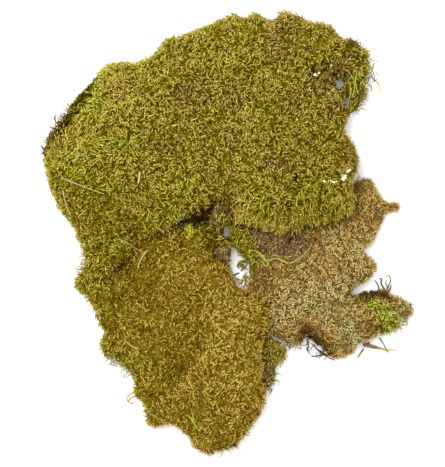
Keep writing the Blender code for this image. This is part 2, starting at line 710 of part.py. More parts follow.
def centre_on_origin(things):
    """Puts the middle of the box of all pieces above the origin."""
    bpy.context.view_layer.update()
    depsgraph = bpy.context.evaluated_depsgraph_get()
    corners = []
    for thing in things:
        if not thing.hide_render:
            mesh = thing.evaluated_get(depsgraph).data
            corners += [vertex.co.copy() for vertex in mesh.vertices]
    corners = np.array(corners)
    middle = (corners.min(0) + corners.max(0)) / 2
    for thing in things:
        for vertex in thing.data.vertices:
            vertex.co.x -= middle[0]
            vertex.co.y -= middle[1]
    print("box", (corners.max(0) - corners.min(0)) / MM, "moved by", -middle / MM)


def build():
    clear_scene()
    upper = upper_mat()
    lower = lower_mat()
    right = right_mat()
    things = [upper, lower, right, side_scrap(), loose_sprig()]
    things.append(peat_clod("peat_clod_upper", UPPER_CLOD_OUTLINE, CLOD_SLICES[0]))
    things.append(peat_clod("peat_clod_lower", LOWER_CLOD_OUTLINE, CLOD_SLICES[1]))
    things += forked_twig()
    things.append(floor_twig("thin_twig", THIN_TWIG, THIN_TWIG_RADII, THIN_TWIG_RISE))
    things.append(floor_twig("short_twig", SHORT_TWIG, SHORT_TWIG_RADII))
    things.append(straw("long_straw", LONG_STRAW, LONG_STRAW_RADIUS, [upper], STRAW))
    things.append(straw("bent_straw", BENT_STRAW, BENT_STRAW_RADIUS, [upper], STRAW))
    things.append(straw("white_straw", WHITE_STRAW, WHITE_STRAW_RADIUS, [upper], STRAW))
    things.append(straw("brown_chip", BROWN_CHIP, BROWN_CHIP_RADIUS, [upper], BARK, BENT_STEP))
    mats = [upper, lower]
    things.append(straw("middle_straw", MIDDLE_STRAW, MIDDLE_STRAW_RADIUS, mats, STRAW))
    runner = PALE_RUNNER, PALE_RUNNER_RADIUS, [right], PALE_STEM, BENT_STEP
    things.append(straw("pale_runner", *runner))
    centre_on_origin(things)


build()
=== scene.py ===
# %% [markdown]
# # A torn clump of sheet moss
#
# Moss is a carpet of tiny leafy shoots on a felt of its own dead stems and peat. Up close no surface is
# smooth: what the eye reads as a mat is thousands of shoot tips with dark gaps between them. So this
# lesson keeps the rough solids only as a guide. A dark felt is made a little inside each of them, and
# then shoots are planted in it whose tips reach the solid's own surface.

# %% Loading the solids
import math

import bpy
import numpy as np
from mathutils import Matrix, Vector, noise
from mathutils.bvhtree import BVHTree


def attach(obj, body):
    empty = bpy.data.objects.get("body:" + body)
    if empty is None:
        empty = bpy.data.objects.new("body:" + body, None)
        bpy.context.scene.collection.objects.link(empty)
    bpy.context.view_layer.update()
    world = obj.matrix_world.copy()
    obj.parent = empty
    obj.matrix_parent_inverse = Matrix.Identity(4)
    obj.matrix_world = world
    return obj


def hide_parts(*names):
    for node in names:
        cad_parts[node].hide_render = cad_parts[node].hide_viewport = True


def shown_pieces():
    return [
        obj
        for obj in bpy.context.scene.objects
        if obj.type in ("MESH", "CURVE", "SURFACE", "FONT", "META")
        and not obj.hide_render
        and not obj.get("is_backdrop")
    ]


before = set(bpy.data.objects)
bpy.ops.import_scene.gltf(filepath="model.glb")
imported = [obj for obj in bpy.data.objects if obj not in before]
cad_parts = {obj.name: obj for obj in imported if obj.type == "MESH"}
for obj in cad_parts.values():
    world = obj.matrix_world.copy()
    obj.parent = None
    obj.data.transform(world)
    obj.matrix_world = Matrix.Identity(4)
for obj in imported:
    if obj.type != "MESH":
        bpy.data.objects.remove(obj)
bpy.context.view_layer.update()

MM = 0.001
print("solids:", ", ".join(sorted(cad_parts)))

# %% [markdown]
# ## Where things are
#
# All places below are in millimetres on a sheet laid over the clump, X to the right and Y up. The solids
# were centred after they were drawn on that sheet, so one small shift takes a place on the sheet to its
# place in the model. One pixel of the picture is 0.6 mm on the sheet.

# %% Places on the sheet
SHIFT = np.array([-1.640, -0.035, 0.0])
PIXEL = 0.6
PICTURE = 445, 467


def to_model(places):
    """Sheet millimetres to metres in the model."""
    return (np.asarray(places, float) + SHIFT) * MM


def to_sheet(places):
    """Metres in the model to sheet millimetres."""
    return np.asarray(places, float) / MM - SHIFT


print("the picture shows", PICTURE[0] * PIXEL, "by", PICTURE[1] * PIXEL, "mm")

# %% [markdown]
# ## Camera, floor and light
#
# The clump lies on a white table and is seen from straight above. A long lens from about a metre keeps
# the thick mat from looking larger than the thin ones. A big soft lamp up and to the left and a pale sky
# all round leave only a breath of shadow on the table, while the gaps between shoots still go dark.

# %% Camera
LENS = 120.0
SENSOR = 36.0
FOCUS_HEIGHT = 8.0
MIDDLE = (-3.0, -0.3, FOCUS_HEIGHT)

reach = PICTURE[1] * PIXEL * LENS / SENSOR
above = to_model(MIDDLE) + np.array([0, 0, reach * MM])
bpy.ops.object.camera_add(location=above, rotation=(0, 0, 0))
camera = bpy.context.object
camera.data.lens = LENS
camera.data.sensor_width = SENSOR
camera.data.clip_start = 0.05
bpy.context.scene.camera = camera
print("camera at", round(above[2], 3), "m above the table")

# %% Table
TABLE = 12.0
TABLE_DROP = 0.0002
bpy.ops.mesh.primitive_plane_add(size=TABLE, location=(0, 0, -TABLE_DROP))
table = bpy.context.object
table.name = "table"
table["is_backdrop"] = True
print("table", TABLE, "m wide")

# %% Light
LAMP_SIZE = 0.7
LAMP_POWER = 11.0
LAMP_PLACE = Vector((-0.55, 0.50, 1.05))
SKY = 1.28

bpy.ops.object.light_add(type="AREA", location=LAMP_PLACE)
lamp = bpy.context.object
lamp.rotation_euler = (-LAMP_PLACE).to_track_quat("-Z", "Y").to_euler()
lamp.data.size = LAMP_SIZE
lamp.data.energy = LAMP_POWER

world = bpy.data.worlds.new("pale_sky")
world.use_nodes = True
world.node_tree.nodes["Background"].inputs["Color"].default_value = (1, 1, 1, 1)
world.node_tree.nodes["Background"].inputs["Strength"].default_value = SKY
bpy.context.scene.world = world
bpy.context.scene.view_settings.view_transform = "Standard"
print("lamp", LAMP_POWER, "W and sky", SKY)

# %% [markdown]
# ## Writing finishes as sums
#
# A finish is a small calculation: this pattern times that colour, plus a little of another. `Wire` wraps
# one socket so that Python's own signs add the Math nodes. `Finish` holds a material, with one method that
# adds any node and short names for the nodes that are used most.

# %% Wires and finishes
def paint(red, green, blue):
    """A colour given from 0 to 255, as the light values that a shader takes."""
    shares = [part / 255 for part in (red, green, blue)]
    light = [part / 12.92 if part <= 0.04045 else ((part + 0.055) / 1.055) ** 2.4 for part in shares]
    return (*light, 1.0)


class Wire:
    """One node's output, which Python's signs can calculate with."""

    def __init__(self, finish, socket):
        self.finish = finish
        self.socket = socket

    def maths(self, operation, first, second):
        return self.finish.add("Math", {"operation": operation}, {0: first, 1: second})

    def __add__(self, other):
        return self.maths("ADD", self, other)

    def __radd__(self, other):
        return self.maths("ADD", other, self)

    def __sub__(self, other):
        return self.maths("SUBTRACT", self, other)

    def __rsub__(self, other):
        return self.maths("SUBTRACT", other, self)

    def __mul__(self, other):
        return self.maths("MULTIPLY", self, other)

    def __rmul__(self, other):
        return self.maths("MULTIPLY", other, self)


class Finish:
    """A material, and one method that adds a node to it."""

    def __init__(self, name, roughness, gloss=0.3):
        self.material = bpy.data.materials.new(name)
        self.material.use_nodes = True
        self.tree = self.material.node_tree
        self.shader = self.tree.nodes["Principled BSDF"]
        self.shader.inputs["Roughness"].default_value = roughness
        self.shader.inputs["Specular IOR Level"].default_value = gloss

    def add(self, kind, settings, values, output=0):
        node = self.tree.nodes.new("ShaderNode" + kind)
        for name, value in settings.items():
            if name == "stops":
                self.set_stops(node.color_ramp, value)
            else:
                setattr(node, name, value)
        for name, value in values.items():
            self.feed(node.inputs[name], value)
        return Wire(self, node.outputs[output])

    def set_stops(self, ramp, stops):
        while len(ramp.elements) < len(stops):
            ramp.elements.new(1.0)
        for element, (place, colour) in zip(ramp.elements, stops):
            element.position = place
            element.color = colour

    def feed(self, socket, value):
        if isinstance(value, Wire):
            self.tree.links.new(value.socket, socket)
        else:
            socket.default_value = value

    def show(self, **values):
        for name, value in values.items():
            self.feed(self.shader.inputs[name.replace("_", " ")], value)
        return self.material

    def ramp(self, amount, stops):
        """A colour from stops, by an amount from 0 to 1."""
        return self.add("ValToRGB", {"stops": stops}, {"Fac": amount})

    def blend(self, share, first, second, way="MIX"):
        """Two colours mixed, second over first by a share from 0 to 1."""
        settings = {"data_type": "RGBA", "blend_type": way}
        return self.add("Mix", settings, {0: share, 6: first, 7: second}, output=2)

    def where(self):
        """The place on the piece itself."""
        return self.add("TexCoord", {}, {}, output="Object")

    def speckle(self, size, detail=3.0, rough=0.6):
        """Cloudy noise, 0 to 1, with lumps about so many millimetres across."""
        values = {"Vector": self.where(), "Scale": 1 / (size * MM), "Detail": detail, "Roughness": rough}
        return self.add("TexNoise", {}, values)

    def part(self, vector, letter):
        """One of the three numbers of a vector."""
        return self.add("SeparateXYZ", {}, {"Vector": vector}, letter)

    def spread(self, amount, least, most, high=1.0):
        """0 below the least amount, `high` above the most, and even in between."""
        limits = {"From Min": least, "From Max": most, "To Min": 0.0, "To Max": high}
        return self.add("MapRange", {"clamp": True}, {"Value": amount, **limits})

    def cells(self, size):
        """Grains about so many millimetres across: 0 in the middle of each, more towards its edge."""
        values = {"Vector": self.where(), "Scale": 1 / (size * MM)}
        return self.add("TexVoronoi", {}, values)

    def bump(self, height, depth):
        """Small relief, its depth in millimetres."""
        return self.add("Bump", {}, {"Height": height, "Distance": depth * MM, "Strength": 1.0})


print("middle grey in light values:", round(paint(128, 128, 128)[0], 3))

# %% White table
TABLE_WHITE = paint(250, 250, 250)
table.data.materials.append(Finish("white_table", 0.9, 0.1).show(Base_Color=TABLE_WHITE))
print("table finish:", table.data.materials[0].name)

# %% [markdown]
# ## The colours of moss
#
# Every shoot has one hue and gets lighter from its root to its tip, as painted shade deep in the mat and a
# painted highlight at the tip. Both are written into the shoots' own UV map: across the map lie the hues of
# that mat, from dead brown to fresh green, and up the map lies the light, which is painted shade and
# highlight together with the mat's own lighter and darker patches. The finish only has to read the map, so
# thousands of shoots share one simple material.

# %% Moss finishes
# Painted light and shade: low light on the map darkens a hue nearly to black, high light brightens it past
# itself.
SHADE = [
    (0.0, (0.02, 0.015, 0.0, 1)),
    (0.1, (0.19, 0.155, 0.0, 1)),
    (0.3, (0.55, 0.51, 0.075, 1)),
    (0.6, (1.05, 1.04, 0.57, 1)),
    (1.0, (1.42, 1.42, 1.36, 1)),
]
# Painted highlight: towards the top of the map the colour is mixed with this pale tint, for the sheen on the
# shoot tips.
HIGHLIGHT_TIP = (234, 221, 136)
HIGHLIGHT_FROM, HIGHLIGHT_MOST = 0.46, 0.62


def moss_finish(name, hues):
    """Moss whose hues lie across its map and whose light lies up it."""
    finish = Finish(name, 0.8, 0.0)
    spot = finish.add("UVMap", {"uv_map": "OFBake"}, {})
    across, up = finish.part(spot, "X"), finish.part(spot, "Y")
    stops = [(place, paint(*colour)) for place, colour in hues]
    colour = finish.blend(1.0, finish.ramp(across, stops), finish.ramp(up, SHADE), "MULTIPLY")
    # Painted highlight on the tips: the pale tint mixed in towards the top of the map.
    pale = finish.spread(up, HIGHLIGHT_FROM, 1.0, HIGHLIGHT_MOST)
    return finish.show(Base_Color=finish.blend(pale, colour, paint(*HIGHLIGHT_TIP)))


GREEN = moss_finish("green_moss", [
    (0.0, (112, 92, 74)),
    (0.18, (156, 124, 70)),
    (0.36, (172, 144, 44)),
    (0.55, (166, 151, 28)),
    (0.78, (158, 159, 24)),
    (1.0, (176, 186, 40)),
])
GOLDEN = moss_finish("golden_moss", [
    (0.0, (122, 92, 60)),
    (0.2, (176, 132, 68)),
    (0.5, (193, 159, 64)),
    (0.78, (182, 162, 52)),
    (1.0, (168, 169, 46)),
])
DRY = moss_finish("dry_moss", [
    (0.0, (108, 82, 56)),
    (0.2, (180, 130, 66)),
    (0.4, (206, 167, 112)),
    (0.6, (202, 179, 144)),
    (0.86, (194, 186, 172)),
    (0.93, (172, 182, 26)),
    (0.97, (148, 174, 14)),
])
print("moss finishes:", GREEN.name, GOLDEN.name, DRY.name)

# %% [markdown]
# ## Patches and stretches
#
# Much of what follows differs from place to place: greener here, darker there, thinner along an edge.
# Three small measures say how far a place belongs to a patch, to a stretch along a line, or to a cloud.

# %% Measures of place
def patches(place, marks):
    """Round patches that add up: each has X, Y, reach and amount."""
    total = np.zeros(len(place))
    for x, y, wide, amount in marks:
        square = (place[:, 0] - x) ** 2 + (place[:, 1] - y) ** 2
        total += amount * np.exp(-square / wide**2)
    return total


def from_route(place, route):
    """How far each place is from a route, and which way it lies from the route's nearest point."""
    best, aside = np.full(len(place), np.inf), np.zeros((len(place), 2))
    for start, end in zip(route, route[1:]):
        start, run = np.array(start, float), np.array(end, float) - np.array(start, float)
        part = np.clip(((place[:, :2] - start) @ run) / (run @ run), 0, 1)
        gap = place[:, :2] - start - part[:, None] * run
        far = np.linalg.norm(gap, axis=1)
        closer = far < best
        best[closer], aside[closer] = far[closer], gap[closer]
    return best, aside


def near(place, route, wide):
    """1 on a route, fading to 0 a few widths away."""
    return np.exp(-((from_route(place, route)[0] / wide) ** 2))


def cloudy(place, size, at):
    """Smooth noise between about -1 and 1."""
    return np.array([noise.noise(Vector((x / size, y / size, at))) for x, y, _ in place])


ONE_WIDTH_OFF = near(np.array([[0.0, 3.0, 0.0]]), [(-5, 0), (5, 0)], 3.0)[0]
print("one width from a route the measure is", round(ONE_WIDTH_OFF, 2))

# %% [markdown]
# ## The felt under the shoots
#
# Below the tips the mat is last year's brown shoots, rhizoids and peat pressed into a felt. It shows only
# as darkness between shoots, at the torn places and underneath. It is speckled in two sizes, and small
# relief gives it a fibrous grain.

# %% Felt and peat finishes
BLOTCH = 9.0
PEAT_GRAIN = 0.7
PEAT_COLOURS = (50, 37, 22), (106, 82, 56), (172, 142, 104)
BARE_PEAT = (33, -6.5), 18, 10


def felt_colour(finish, dark, middle, light, grain):
    """Speckle in two sizes and a fibrous relief."""
    blotches = finish.speckle(BLOTCH)
    fibres = finish.speckle(grain, 4.0, 0.75)
    amount = blotches * 0.4 + fibres * 2.0 - 0.7
    colour = finish.ramp(amount, [(0.2, paint(*dark)), (0.5, paint(*middle)), (0.85, paint(*light))])
    return colour, finish.bump(fibres + finish.cells(grain * 1.6) * 0.5, 0.6)


def felt_finish(name, dark, middle, light, grain=0.9, bare=None):
    """Felt; `bare` names an oval of bare peat in it by its middle and half sizes on the sheet."""
    finish = Finish(name, 1.0, 0.0)
    colour, relief = felt_colour(finish, dark, middle, light, grain)
    if bare:
        centre, wide, high = to_model((*bare[0], 0)), bare[1] * MM, bare[2] * MM
        where = finish.where()
        across = (finish.part(where, "X") - centre[0]) * (1 / wide)
        up = (finish.part(where, "Y") - centre[1]) * (1 / high)
        far = across * across + up * up + finish.speckle(5.0) * 1.2 - 0.6
        edge = finish.spread(far, 0.7, 1.2)
        peat, _ = felt_colour(finish, *PEAT_COLOURS, PEAT_GRAIN)
        colour = finish.blend(edge, peat, colour)
    return finish.show(Base_Color=colour, Normal=relief)


# The felt colours are the felt's own brown darkened further: painted shade for the gaps between shoots.
FELT = felt_finish("dark_felt", (46, 38, 0), (108, 96, 8), (170, 153, 42))
GOLD_FELT = felt_finish("golden_felt", (52, 40, 2), (120, 99, 18), (178, 150, 56))
DRY_FELT = felt_finish("dry_felt", (60, 46, 22), (110, 88, 50), (172, 146, 96), bare=BARE_PEAT)
PEAT = felt_finish("peat", *PEAT_COLOURS, PEAT_GRAIN)
print("felt finishes:", FELT.name, GOLD_FELT.name, DRY_FELT.name, PEAT.name)

# %% [markdown]
# ## Making the felt from the solids
#
# A copy of each solid is welded, subdivided and drawn in by up to a few millimetres, then roughened with a
# cloud texture. Its underside goes back to the table, because the felt is what the clump lies on.

# %% The felt's form
LEAST_HEIGHT = 0.0002
WELD = 0.00001
FACING_DOWN = -0.7
WORN_AWAY = 0.62
NOWHERE = [(900, 900), (901, 900)], 1.0


def select_only(thing):
    bpy.ops.object.select_all(action="DESELECT")
    thing.select_set(True)
    bpy.context.view_layer.objects.active = thing


def mesh_places(thing):
    places = np.empty(len(thing.data.vertices) * 3)
    thing.data.vertices.foreach_get("co", places)
    return places.reshape(-1, 3)


def put_places(thing, places):
    thing.data.vertices.foreach_set("co", places.ravel())
    thing.data.update()


def mesh_normals(thing):
    normals = np.empty(len(thing.data.vertices) * 3, np.float32)
    thing.data.vertex_normals.foreach_get("vector", normals)
    return normals.reshape(-1, 3).astype(float)


def welded_copy(node, name):
    """A copy of a solid with its loose triangles joined."""
    thing = bpy.data.objects.new(name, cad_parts[node].data.copy())
    bpy.context.collection.objects.link(thing)
    thing.data.materials.clear()
    select_only(thing)
    bpy.ops.object.mode_set(mode="EDIT")
    bpy.ops.mesh.select_all(action="SELECT")
    bpy.ops.mesh.remove_doubles(threshold=WELD)
    bpy.ops.object.mode_set(mode="OBJECT")
    return thing


def roughen(thing, size, depth):
    """Lumps of a cloud texture, in and out of the surface."""
    cloud = bpy.data.textures.new(thing.name + "_cloud", "CLOUDS")
    cloud.noise_scale = size * MM
    cloud.noise_depth = 3
    lumps = thing.modifiers.new("lumps", "DISPLACE")
    lumps.texture = cloud
    lumps.texture_coords = "LOCAL"
    lumps.strength = depth * MM
    lumps.mid_level = 0.5
    select_only(thing)
    bpy.ops.object.modifier_apply(modifier="lumps")


def stand_in(thing, node, finish):
    """Gives a finished piece its finish and lets it take its solid's place."""
    thing.data.materials.append(finish)
    thing.data.shade_smooth()
    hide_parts(node)
    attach(thing, "root")
    print(thing.name, len(thing.data.polygons), "faces")
    return thing


def felt(node, name, finish, inset, side_inset, cuts=1, lump=(5.0, 1.6), worn_thin=NOWHERE):
    """The felt inside one solid, which then takes the solid's place."""
    thing = welded_copy(node, name)
    bpy.ops.object.mode_set(mode="EDIT")
    bpy.ops.mesh.select_all(action="SELECT")
    bpy.ops.mesh.subdivide(number_cuts=cuts)
    bpy.ops.object.mode_set(mode="OBJECT")
    before, facing = mesh_places(thing), mesh_normals(thing)
    under = facing[:, 2] < FACING_DOWN
    level = np.clip(facing[:, 2:], 0, 1)
    worn = near(to_sheet(before), *worn_thin)
    places = before - facing * (side_inset + (inset - side_inset) * level) * MM
    put_places(thing, places)
    roughen(thing, *lump)
    places = mesh_places(thing)
    places[under, 2] = before[under, 2]
    places[:, 2] *= 1 - WORN_AWAY * worn
    places[:, 2] = np.maximum(places[:, 2], LEAST_HEIGHT)
    put_places(thing, places)
    return stand_in(thing, node, finish)


print("the felt is never lower than", LEAST_HEIGHT / MM, "mm")

# %% Felt of each mat
WORN_WIDE = 7.0
WORN_MIDDLE = [(51, 93), (60, 94), (68, 90), (73, 84), (76, 76)]
WORN_OUTER = [(80, 86), (80, 98), (72, 106)]
upper_felt = felt(
    "upper_mat", "upper_mat_felt", FELT, 3.2, 1.2,
    worn_thin=(WORN_MIDDLE + WORN_OUTER, WORN_WIDE),
)
felt("lower_mat", "lower_mat_felt", GOLD_FELT, 2.4, 0.8)
felt("right_mat", "right_mat_felt", DRY_FELT, 1.4, 0.6)
felt("side_scrap", "side_scrap_felt", PEAT, 1.0, 0.5, 2, (3.0, 1.2))
felt("loose_sprig", "loose_sprig_felt", FELT, 1.0, 1.6, 2, (2.0, 0.6))
felt("peat_clod_upper", "peat_clod_upper_crumb", PEAT, 0.0, 0.0, 3, (4.0, 3.4))
felt("peat_clod_lower", "peat_clod_lower_crumb", PEAT, 0.0, 0.0, 3, (4.0, 3.0))

# %% [markdown]
# ## Torn through
#
# At its right end the upper mat is torn so thin that the table shows between the shoots. Rough plugs are
# cut out of the felt there, and later no shoot is let lie across them.

# %% Cutting the tears
PLUG_SIDES = 9
PLUG_LENGTH = 0.1
PLUG_ROUGHNESS = 0.35
UPPER_GAPS = [
    (72.9, 105.8, 0.8), (72.3, 80.2, 1.0), (71.8, 78.4, 1.1), (66.2, 91.4, 1.3), (68.4, 90.2, 1.5),
    (67.6, 88.4, 1.2), (70.2, 91.4, 1.0), (75, 71.5, 1.2), (76.5, 70.0, 1.2), (84.2, 88.6, 1.0),
    (86.4, 101.6, 1.1), (71.2, 93.0, 0.6),
]
FELT_TEARS = [
    (67.6, 90.4, 3.4), (72.1, 79.6, 2.4), (73, 105.8, 1.7), (75.5, 70.5, 2.0), (83.6, 88.6, 2.6),
    (86, 101.6, 2.4), (71.6, 92.6, 1.4),
]


def tear(thing, gaps):
    """Cuts rough plugs out of a felt, one after the other."""
    for number, (x, y, wide) in enumerate(gaps):
        bpy.ops.object.select_all(action="DESELECT")
        bpy.ops.mesh.primitive_cylinder_add(
            vertices=PLUG_SIDES, radius=wide * MM, depth=PLUG_LENGTH, location=to_model((x, y, 0)),
        )
        plug = bpy.context.object
        bpy.ops.object.mode_set(mode="EDIT")
        bpy.ops.transform.vertex_random(offset=wide * PLUG_ROUGHNESS * MM, seed=number)
        bpy.ops.object.mode_set(mode="OBJECT")
        cut = thing.modifiers.new("tear", "BOOLEAN")
        cut.operation = "DIFFERENCE"
        cut.solver = "MANIFOLD"
        cut.object = plug
        select_only(thing)
        bpy.ops.object.modifier_apply(modifier="tear")
        bpy.data.objects.remove(plug)
    print(thing.name, "torn in", len(gaps), "places")


tear(upper_felt, FELT_TEARS)

# %% [markdown]
# ## One shoot
#
# A shoot is a limp stem with scale-like leaves, thicker in the middle and pointed at the tip. It is drawn
# out of a three-sided ring, step by step, each ring a little further over, so that it rises from the felt
# and then lies over. Wide and narrow rings in turn stand for the whorls of leaves. A few shoots of
# different bend are enough, because each copy is turned and sized on its own.

# %% Drawing out a shoot
BLUNT = 0.55


def read_shoot(thing, steps):
    """The shoot's points and faces, and how far along it and on which side each corner is."""
    places = mesh_places(thing) / MM
    corners, starts, along, aside = [], [], [], []
    for face in thing.data.polygons:
        starts.append(len(corners))
        rings = [min(index // 3, steps) for index in face.vertices]
        sides = [index % 3 for index in face.vertices]
        base = max(rings) == 0
        for index, ring, side in zip(face.vertices, rings, sides):
            corners.append(index)
            if base:
                along.append(0.03 * (side == 2))
                aside.append(side - 1)
                continue
            along.append(ring / steps)
            last = max(one for one, r in zip(sides, rings) if r < steps)
            first = min(one for one, r in zip(sides, rings) if r < steps)
            if ring == steps:
                aside.append(0)
            else:
                aside.append(1 if side == last else -1)
    return {
        "places": places,
        "corners": np.array(corners),
        "starts": np.array(starts),
        "along": np.array(along),
        "aside": np.array(aside, float),
        "beat": np.cos(np.pi * steps * np.array(along)),
        "triangles": sum(len(face.vertices) - 2 for face in thing.data.polygons),
    }


def grow(name, length, widths, lean, drop, curl, wave=0.0):
    """One shoot that leans by `lean` at its root, then drops, curls and waves by so many degrees.

    Its last step is short, so that its tip is blunt."""
    bpy.ops.object.select_all(action="DESELECT")
    bpy.ops.mesh.primitive_circle_add(vertices=3, radius=widths[0] * MM, fill_type="NGON")
    thing = bpy.context.object
    thing.name = name
    bpy.ops.object.mode_set(mode="EDIT")
    bpy.ops.mesh.select_all(action="SELECT")
    steps = len(widths)
    one_step = length * MM / (steps - 1 + BLUNT)
    centre = Vector((0, 0, 0))
    turned = over = 0.0
    for step in range(steps):
        share = (step + 0.5) / steps
        over_now = math.radians(lean + drop * share)
        side_now = math.radians(curl * share * share + wave * math.sin(2 * math.pi * share))
        ahead = Vector((
            math.sin(over_now) * math.sin(side_now),
            math.sin(over_now) * math.cos(side_now),
            math.cos(over_now),
        ))
        move = ahead * (one_step if step < steps - 1 else one_step * BLUNT)
        centre = centre + move
        bpy.ops.mesh.extrude_region_move(TRANSFORM_OT_translate={"value": move})
        middle = tuple(centre)
        bpy.ops.transform.rotate(value=over_now - over, orient_axis="X", center_override=middle)
        bpy.ops.transform.rotate(value=side_now - turned, orient_axis="Z", center_override=middle)
        over, turned = over_now, side_now
        if step < steps - 1:
            scale = widths[step + 1] / widths[step]
            bpy.ops.transform.resize(value=(scale,) * 3, center_override=middle)
    bpy.ops.mesh.merge(type="CENTER")
    bpy.ops.mesh.select_all(action="SELECT")
    bpy.ops.mesh.normals_make_consistent(inside=False)
    bpy.ops.object.mode_set(mode="OBJECT")
    shoot = read_shoot(thing, steps)
    bpy.data.objects.remove(thing)
    return shoot


LEAFY = [0.20, 0.35, 0.29, 0.33]
PLAIN = [0.24, 0.36, 0.32]
LONG = [0.20, 0.32, 0.25, 0.31, 0.25, 0.29]
THREAD = [0.16, 0.27, 0.22, 0.26]
WISP = [0.18, 0.30, 0.22, 0.29, 0.22, 0.28, 0.20]
CURLY = [0.30, 0.50, 0.40, 0.50, 0.40, 0.46, 0.34]


def bent(name, widths, *bends):
    """Shoots of one make; each row is a length, a lean, a drop, a curl and perhaps a wave."""
    return [grow(f"{name}_{number}", length, widths, *bend) for number, (length, *bend) in enumerate(bends)]


leafy_shoots = bent(
    "leafy", LEAFY, (6.6, 34, 56, 34), (6.6, 34, 56, -34), (6.4, 42, 38, 6), (6.4, 22, 90, -20),
    (5.0, 14, 46, -25), (6.8, 38, 50, 64), (6.4, 52, 28, -14),
)
plain_shoots = bent(
    "plain", PLAIN, (5.5, 32, 52, 30), (5.5, 32, 52, -30), (5.6, 20, 84, 10), (4.6, 12, 50, -15),
    (5.6, 48, 28, 5),
)
long_shoots = bent(
    "long", LONG, (9.0, 30, 66, 35, 20), (9.0, 30, 66, -35, -20), (9.0, 34, 66, 80), (8.5, 40, 52, -8, 18),
)
combed_shoots = bent(
    "combed", LONG, (8.5, 42, 46, 14, 10), (8.5, 42, 46, -16, -10), (8.0, 26, 76, 26),
)
threads = bent(
    "thread", THREAD, (4.6, 34, 66, 80), (4.6, 34, 66, -80), (5.2, 40, 54, 150), (4.4, 44, 40, 12),
    (4.8, 22, 104, -40),
)
wisps = bent(
    "wisp", WISP, (9.5, 50, 46, 30, 55), (9.5, 50, 46, -30, -55), (9.0, 44, 56, 150, -20),
    (9.0, 60, 30, 30, -25), (9.0, 38, 88, -80, 20),
)
curly_stems = bent(
    "curly", CURLY, (9.0, 60, 34, 40, 70), (9.0, 60, 34, -40, -70), (9.0, 50, 50, 150, -20),
    (8.0, 56, 34, 60, -40),
)
print("a leafy shoot has", leafy_shoots[0]["triangles"], "triangles")
print("a plain shoot has", plain_shoots[0]["triangles"], "triangles")

# %% [markdown]
# ## Planting
#
# `skin` reads a welded copy of a solid: its triangles and the direction that its surface faces. Places are
# drawn at random on it, more of them where the mat is denser, and each shoot is set a few millimetres
# into the mat there. All shoots of a patch become one mesh.

# %% Places on a mat
FEWEST_TRIES = 50000
LOWEST_ROOT = 0.4
SIDES_TOO = -0.35
OVERHANGS_TOO = -0.9


def skin(node):
    """The triangles of a solid, in sheet millimetres, with the way each corner faces."""
    thing = welded_copy(node, node + "_skin")
    places = to_sheet(mesh_places(thing))
    normals = mesh_normals(thing)
    faces = np.empty(len(thing.data.polygons) * 3, np.int32)
    thing.data.polygons.foreach_get("vertices", faces)
    bpy.data.objects.remove(thing)
    faces = faces.reshape(-1, 3)
    corner = places[faces]
    facing = np.cross(corner[:, 1] - corner[:, 0], corner[:, 2] - corner[:, 0])
    areas = np.linalg.norm(facing, axis=1) / 2
    return {"corner": corner, "normal": normals[faces], "area": areas, "up": facing[:, 2] / (2 * areas)}


def sow(surface, count, dice, thick=None, lowest=SIDES_TOO):
    """So many places on a mat, more where `thick` is larger, on faces that look up at least so far."""
    area = surface["area"] * (surface["up"] > lowest)
    tries = max(count * 4, FEWEST_TRIES)
    face = dice.choice(len(area), size=tries, p=area / area.sum())
    one, two = np.sqrt(dice.random(tries)), dice.random(tries)
    parts = np.stack([1 - one, one * (1 - two), one * two], 1)
    place = (surface["corner"][face] * parts[:, :, None]).sum(1)
    normal = (surface["normal"][face] * parts[:, :, None]).sum(1)
    normal /= np.linalg.norm(normal, axis=1)[:, None]
    weight = np.ones(tries) if thick is None else np.maximum(thick(place), 0)
    weight[place[:, 2] < LOWEST_ROOT] = 0
    chosen = dice.choice(tries, size=count, replace=False, p=weight / weight.sum())
    return place[chosen], normal[chosen]


print("each patch is drawn from at least", FEWEST_TRIES, "places")

# %% Places kept open
OPEN_PLACES = UPPER_GAPS + [
    (-1.2, 1.6, 2.1), (-0.9, -0.8, 1.6), (-25.6, 5.2, 0.6), (4.4, -11, 1.2), (4.2, -14.6, 2.0),
    (7.4, -16, 1.8), (5.4, -19, 2.4), (11, -19.4, 1.8), (8.4, -23.5, 3.2), (9, -27, 1.9),
    (10.8, -31.4, 0.9),
]


def clear_of(placed, gaps):
    """Whether each shoot stays out of all the gaps."""
    free = np.ones(len(placed), bool)
    for x, y, wide in gaps:
        square = (placed[..., 0] - x) ** 2 + (placed[..., 1] - y) ** 2
        free &= square.min(axis=1) > wide**2
    return free


print(len(OPEN_PLACES), "places kept open")

# %% Planting shoots
HUE_WIDTH = 0.004
# Painted shade: a shoot's root has this share of its light, for the darkness deep in the mat.
ROOT_LIGHT = 0.22
# Painted highlights: whorls of leaves are lighter and darker in turn by this share, as they catch the light.
LEAF_HIGHLIGHT = 0.26
OUTWARD = 1.2
LOWEST_POINT = 0.15
MAP_EDGES = 0.004, 0.996


def joined_mesh(name, finish, slot, *parts):
    """A piece from lists of arrays: its points, face corners, face starts and map places."""
    points, corners, starts, spots = map(np.concatenate, parts)
    points[:, 2] = np.maximum(points[:, 2], LOWEST_POINT)
    mesh = bpy.data.meshes.new(name)
    mesh.vertices.add(len(points))
    mesh.vertices.foreach_set("co", to_model(points).ravel())
    mesh.loops.add(len(corners))
    mesh.loops.foreach_set("vertex_index", corners.astype(np.int32))
    mesh.polygons.add(len(starts))
    mesh.polygons.foreach_set("loop_start", starts.astype(np.int32))
    mesh.update(calc_edges=True)
    layer = mesh.uv_layers.new(name="OFBake")
    layer.uv.foreach_set("vector", np.clip(spots, *MAP_EDGES).ravel().astype(np.float32))
    mesh.shade_smooth()
    mesh.materials.append(finish)
    piece = bpy.data.objects.new(name, mesh)
    bpy.context.collection.objects.link(piece)
    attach(piece, "root")
    print(name, len(corners) - 2 * len(starts), "triangles")


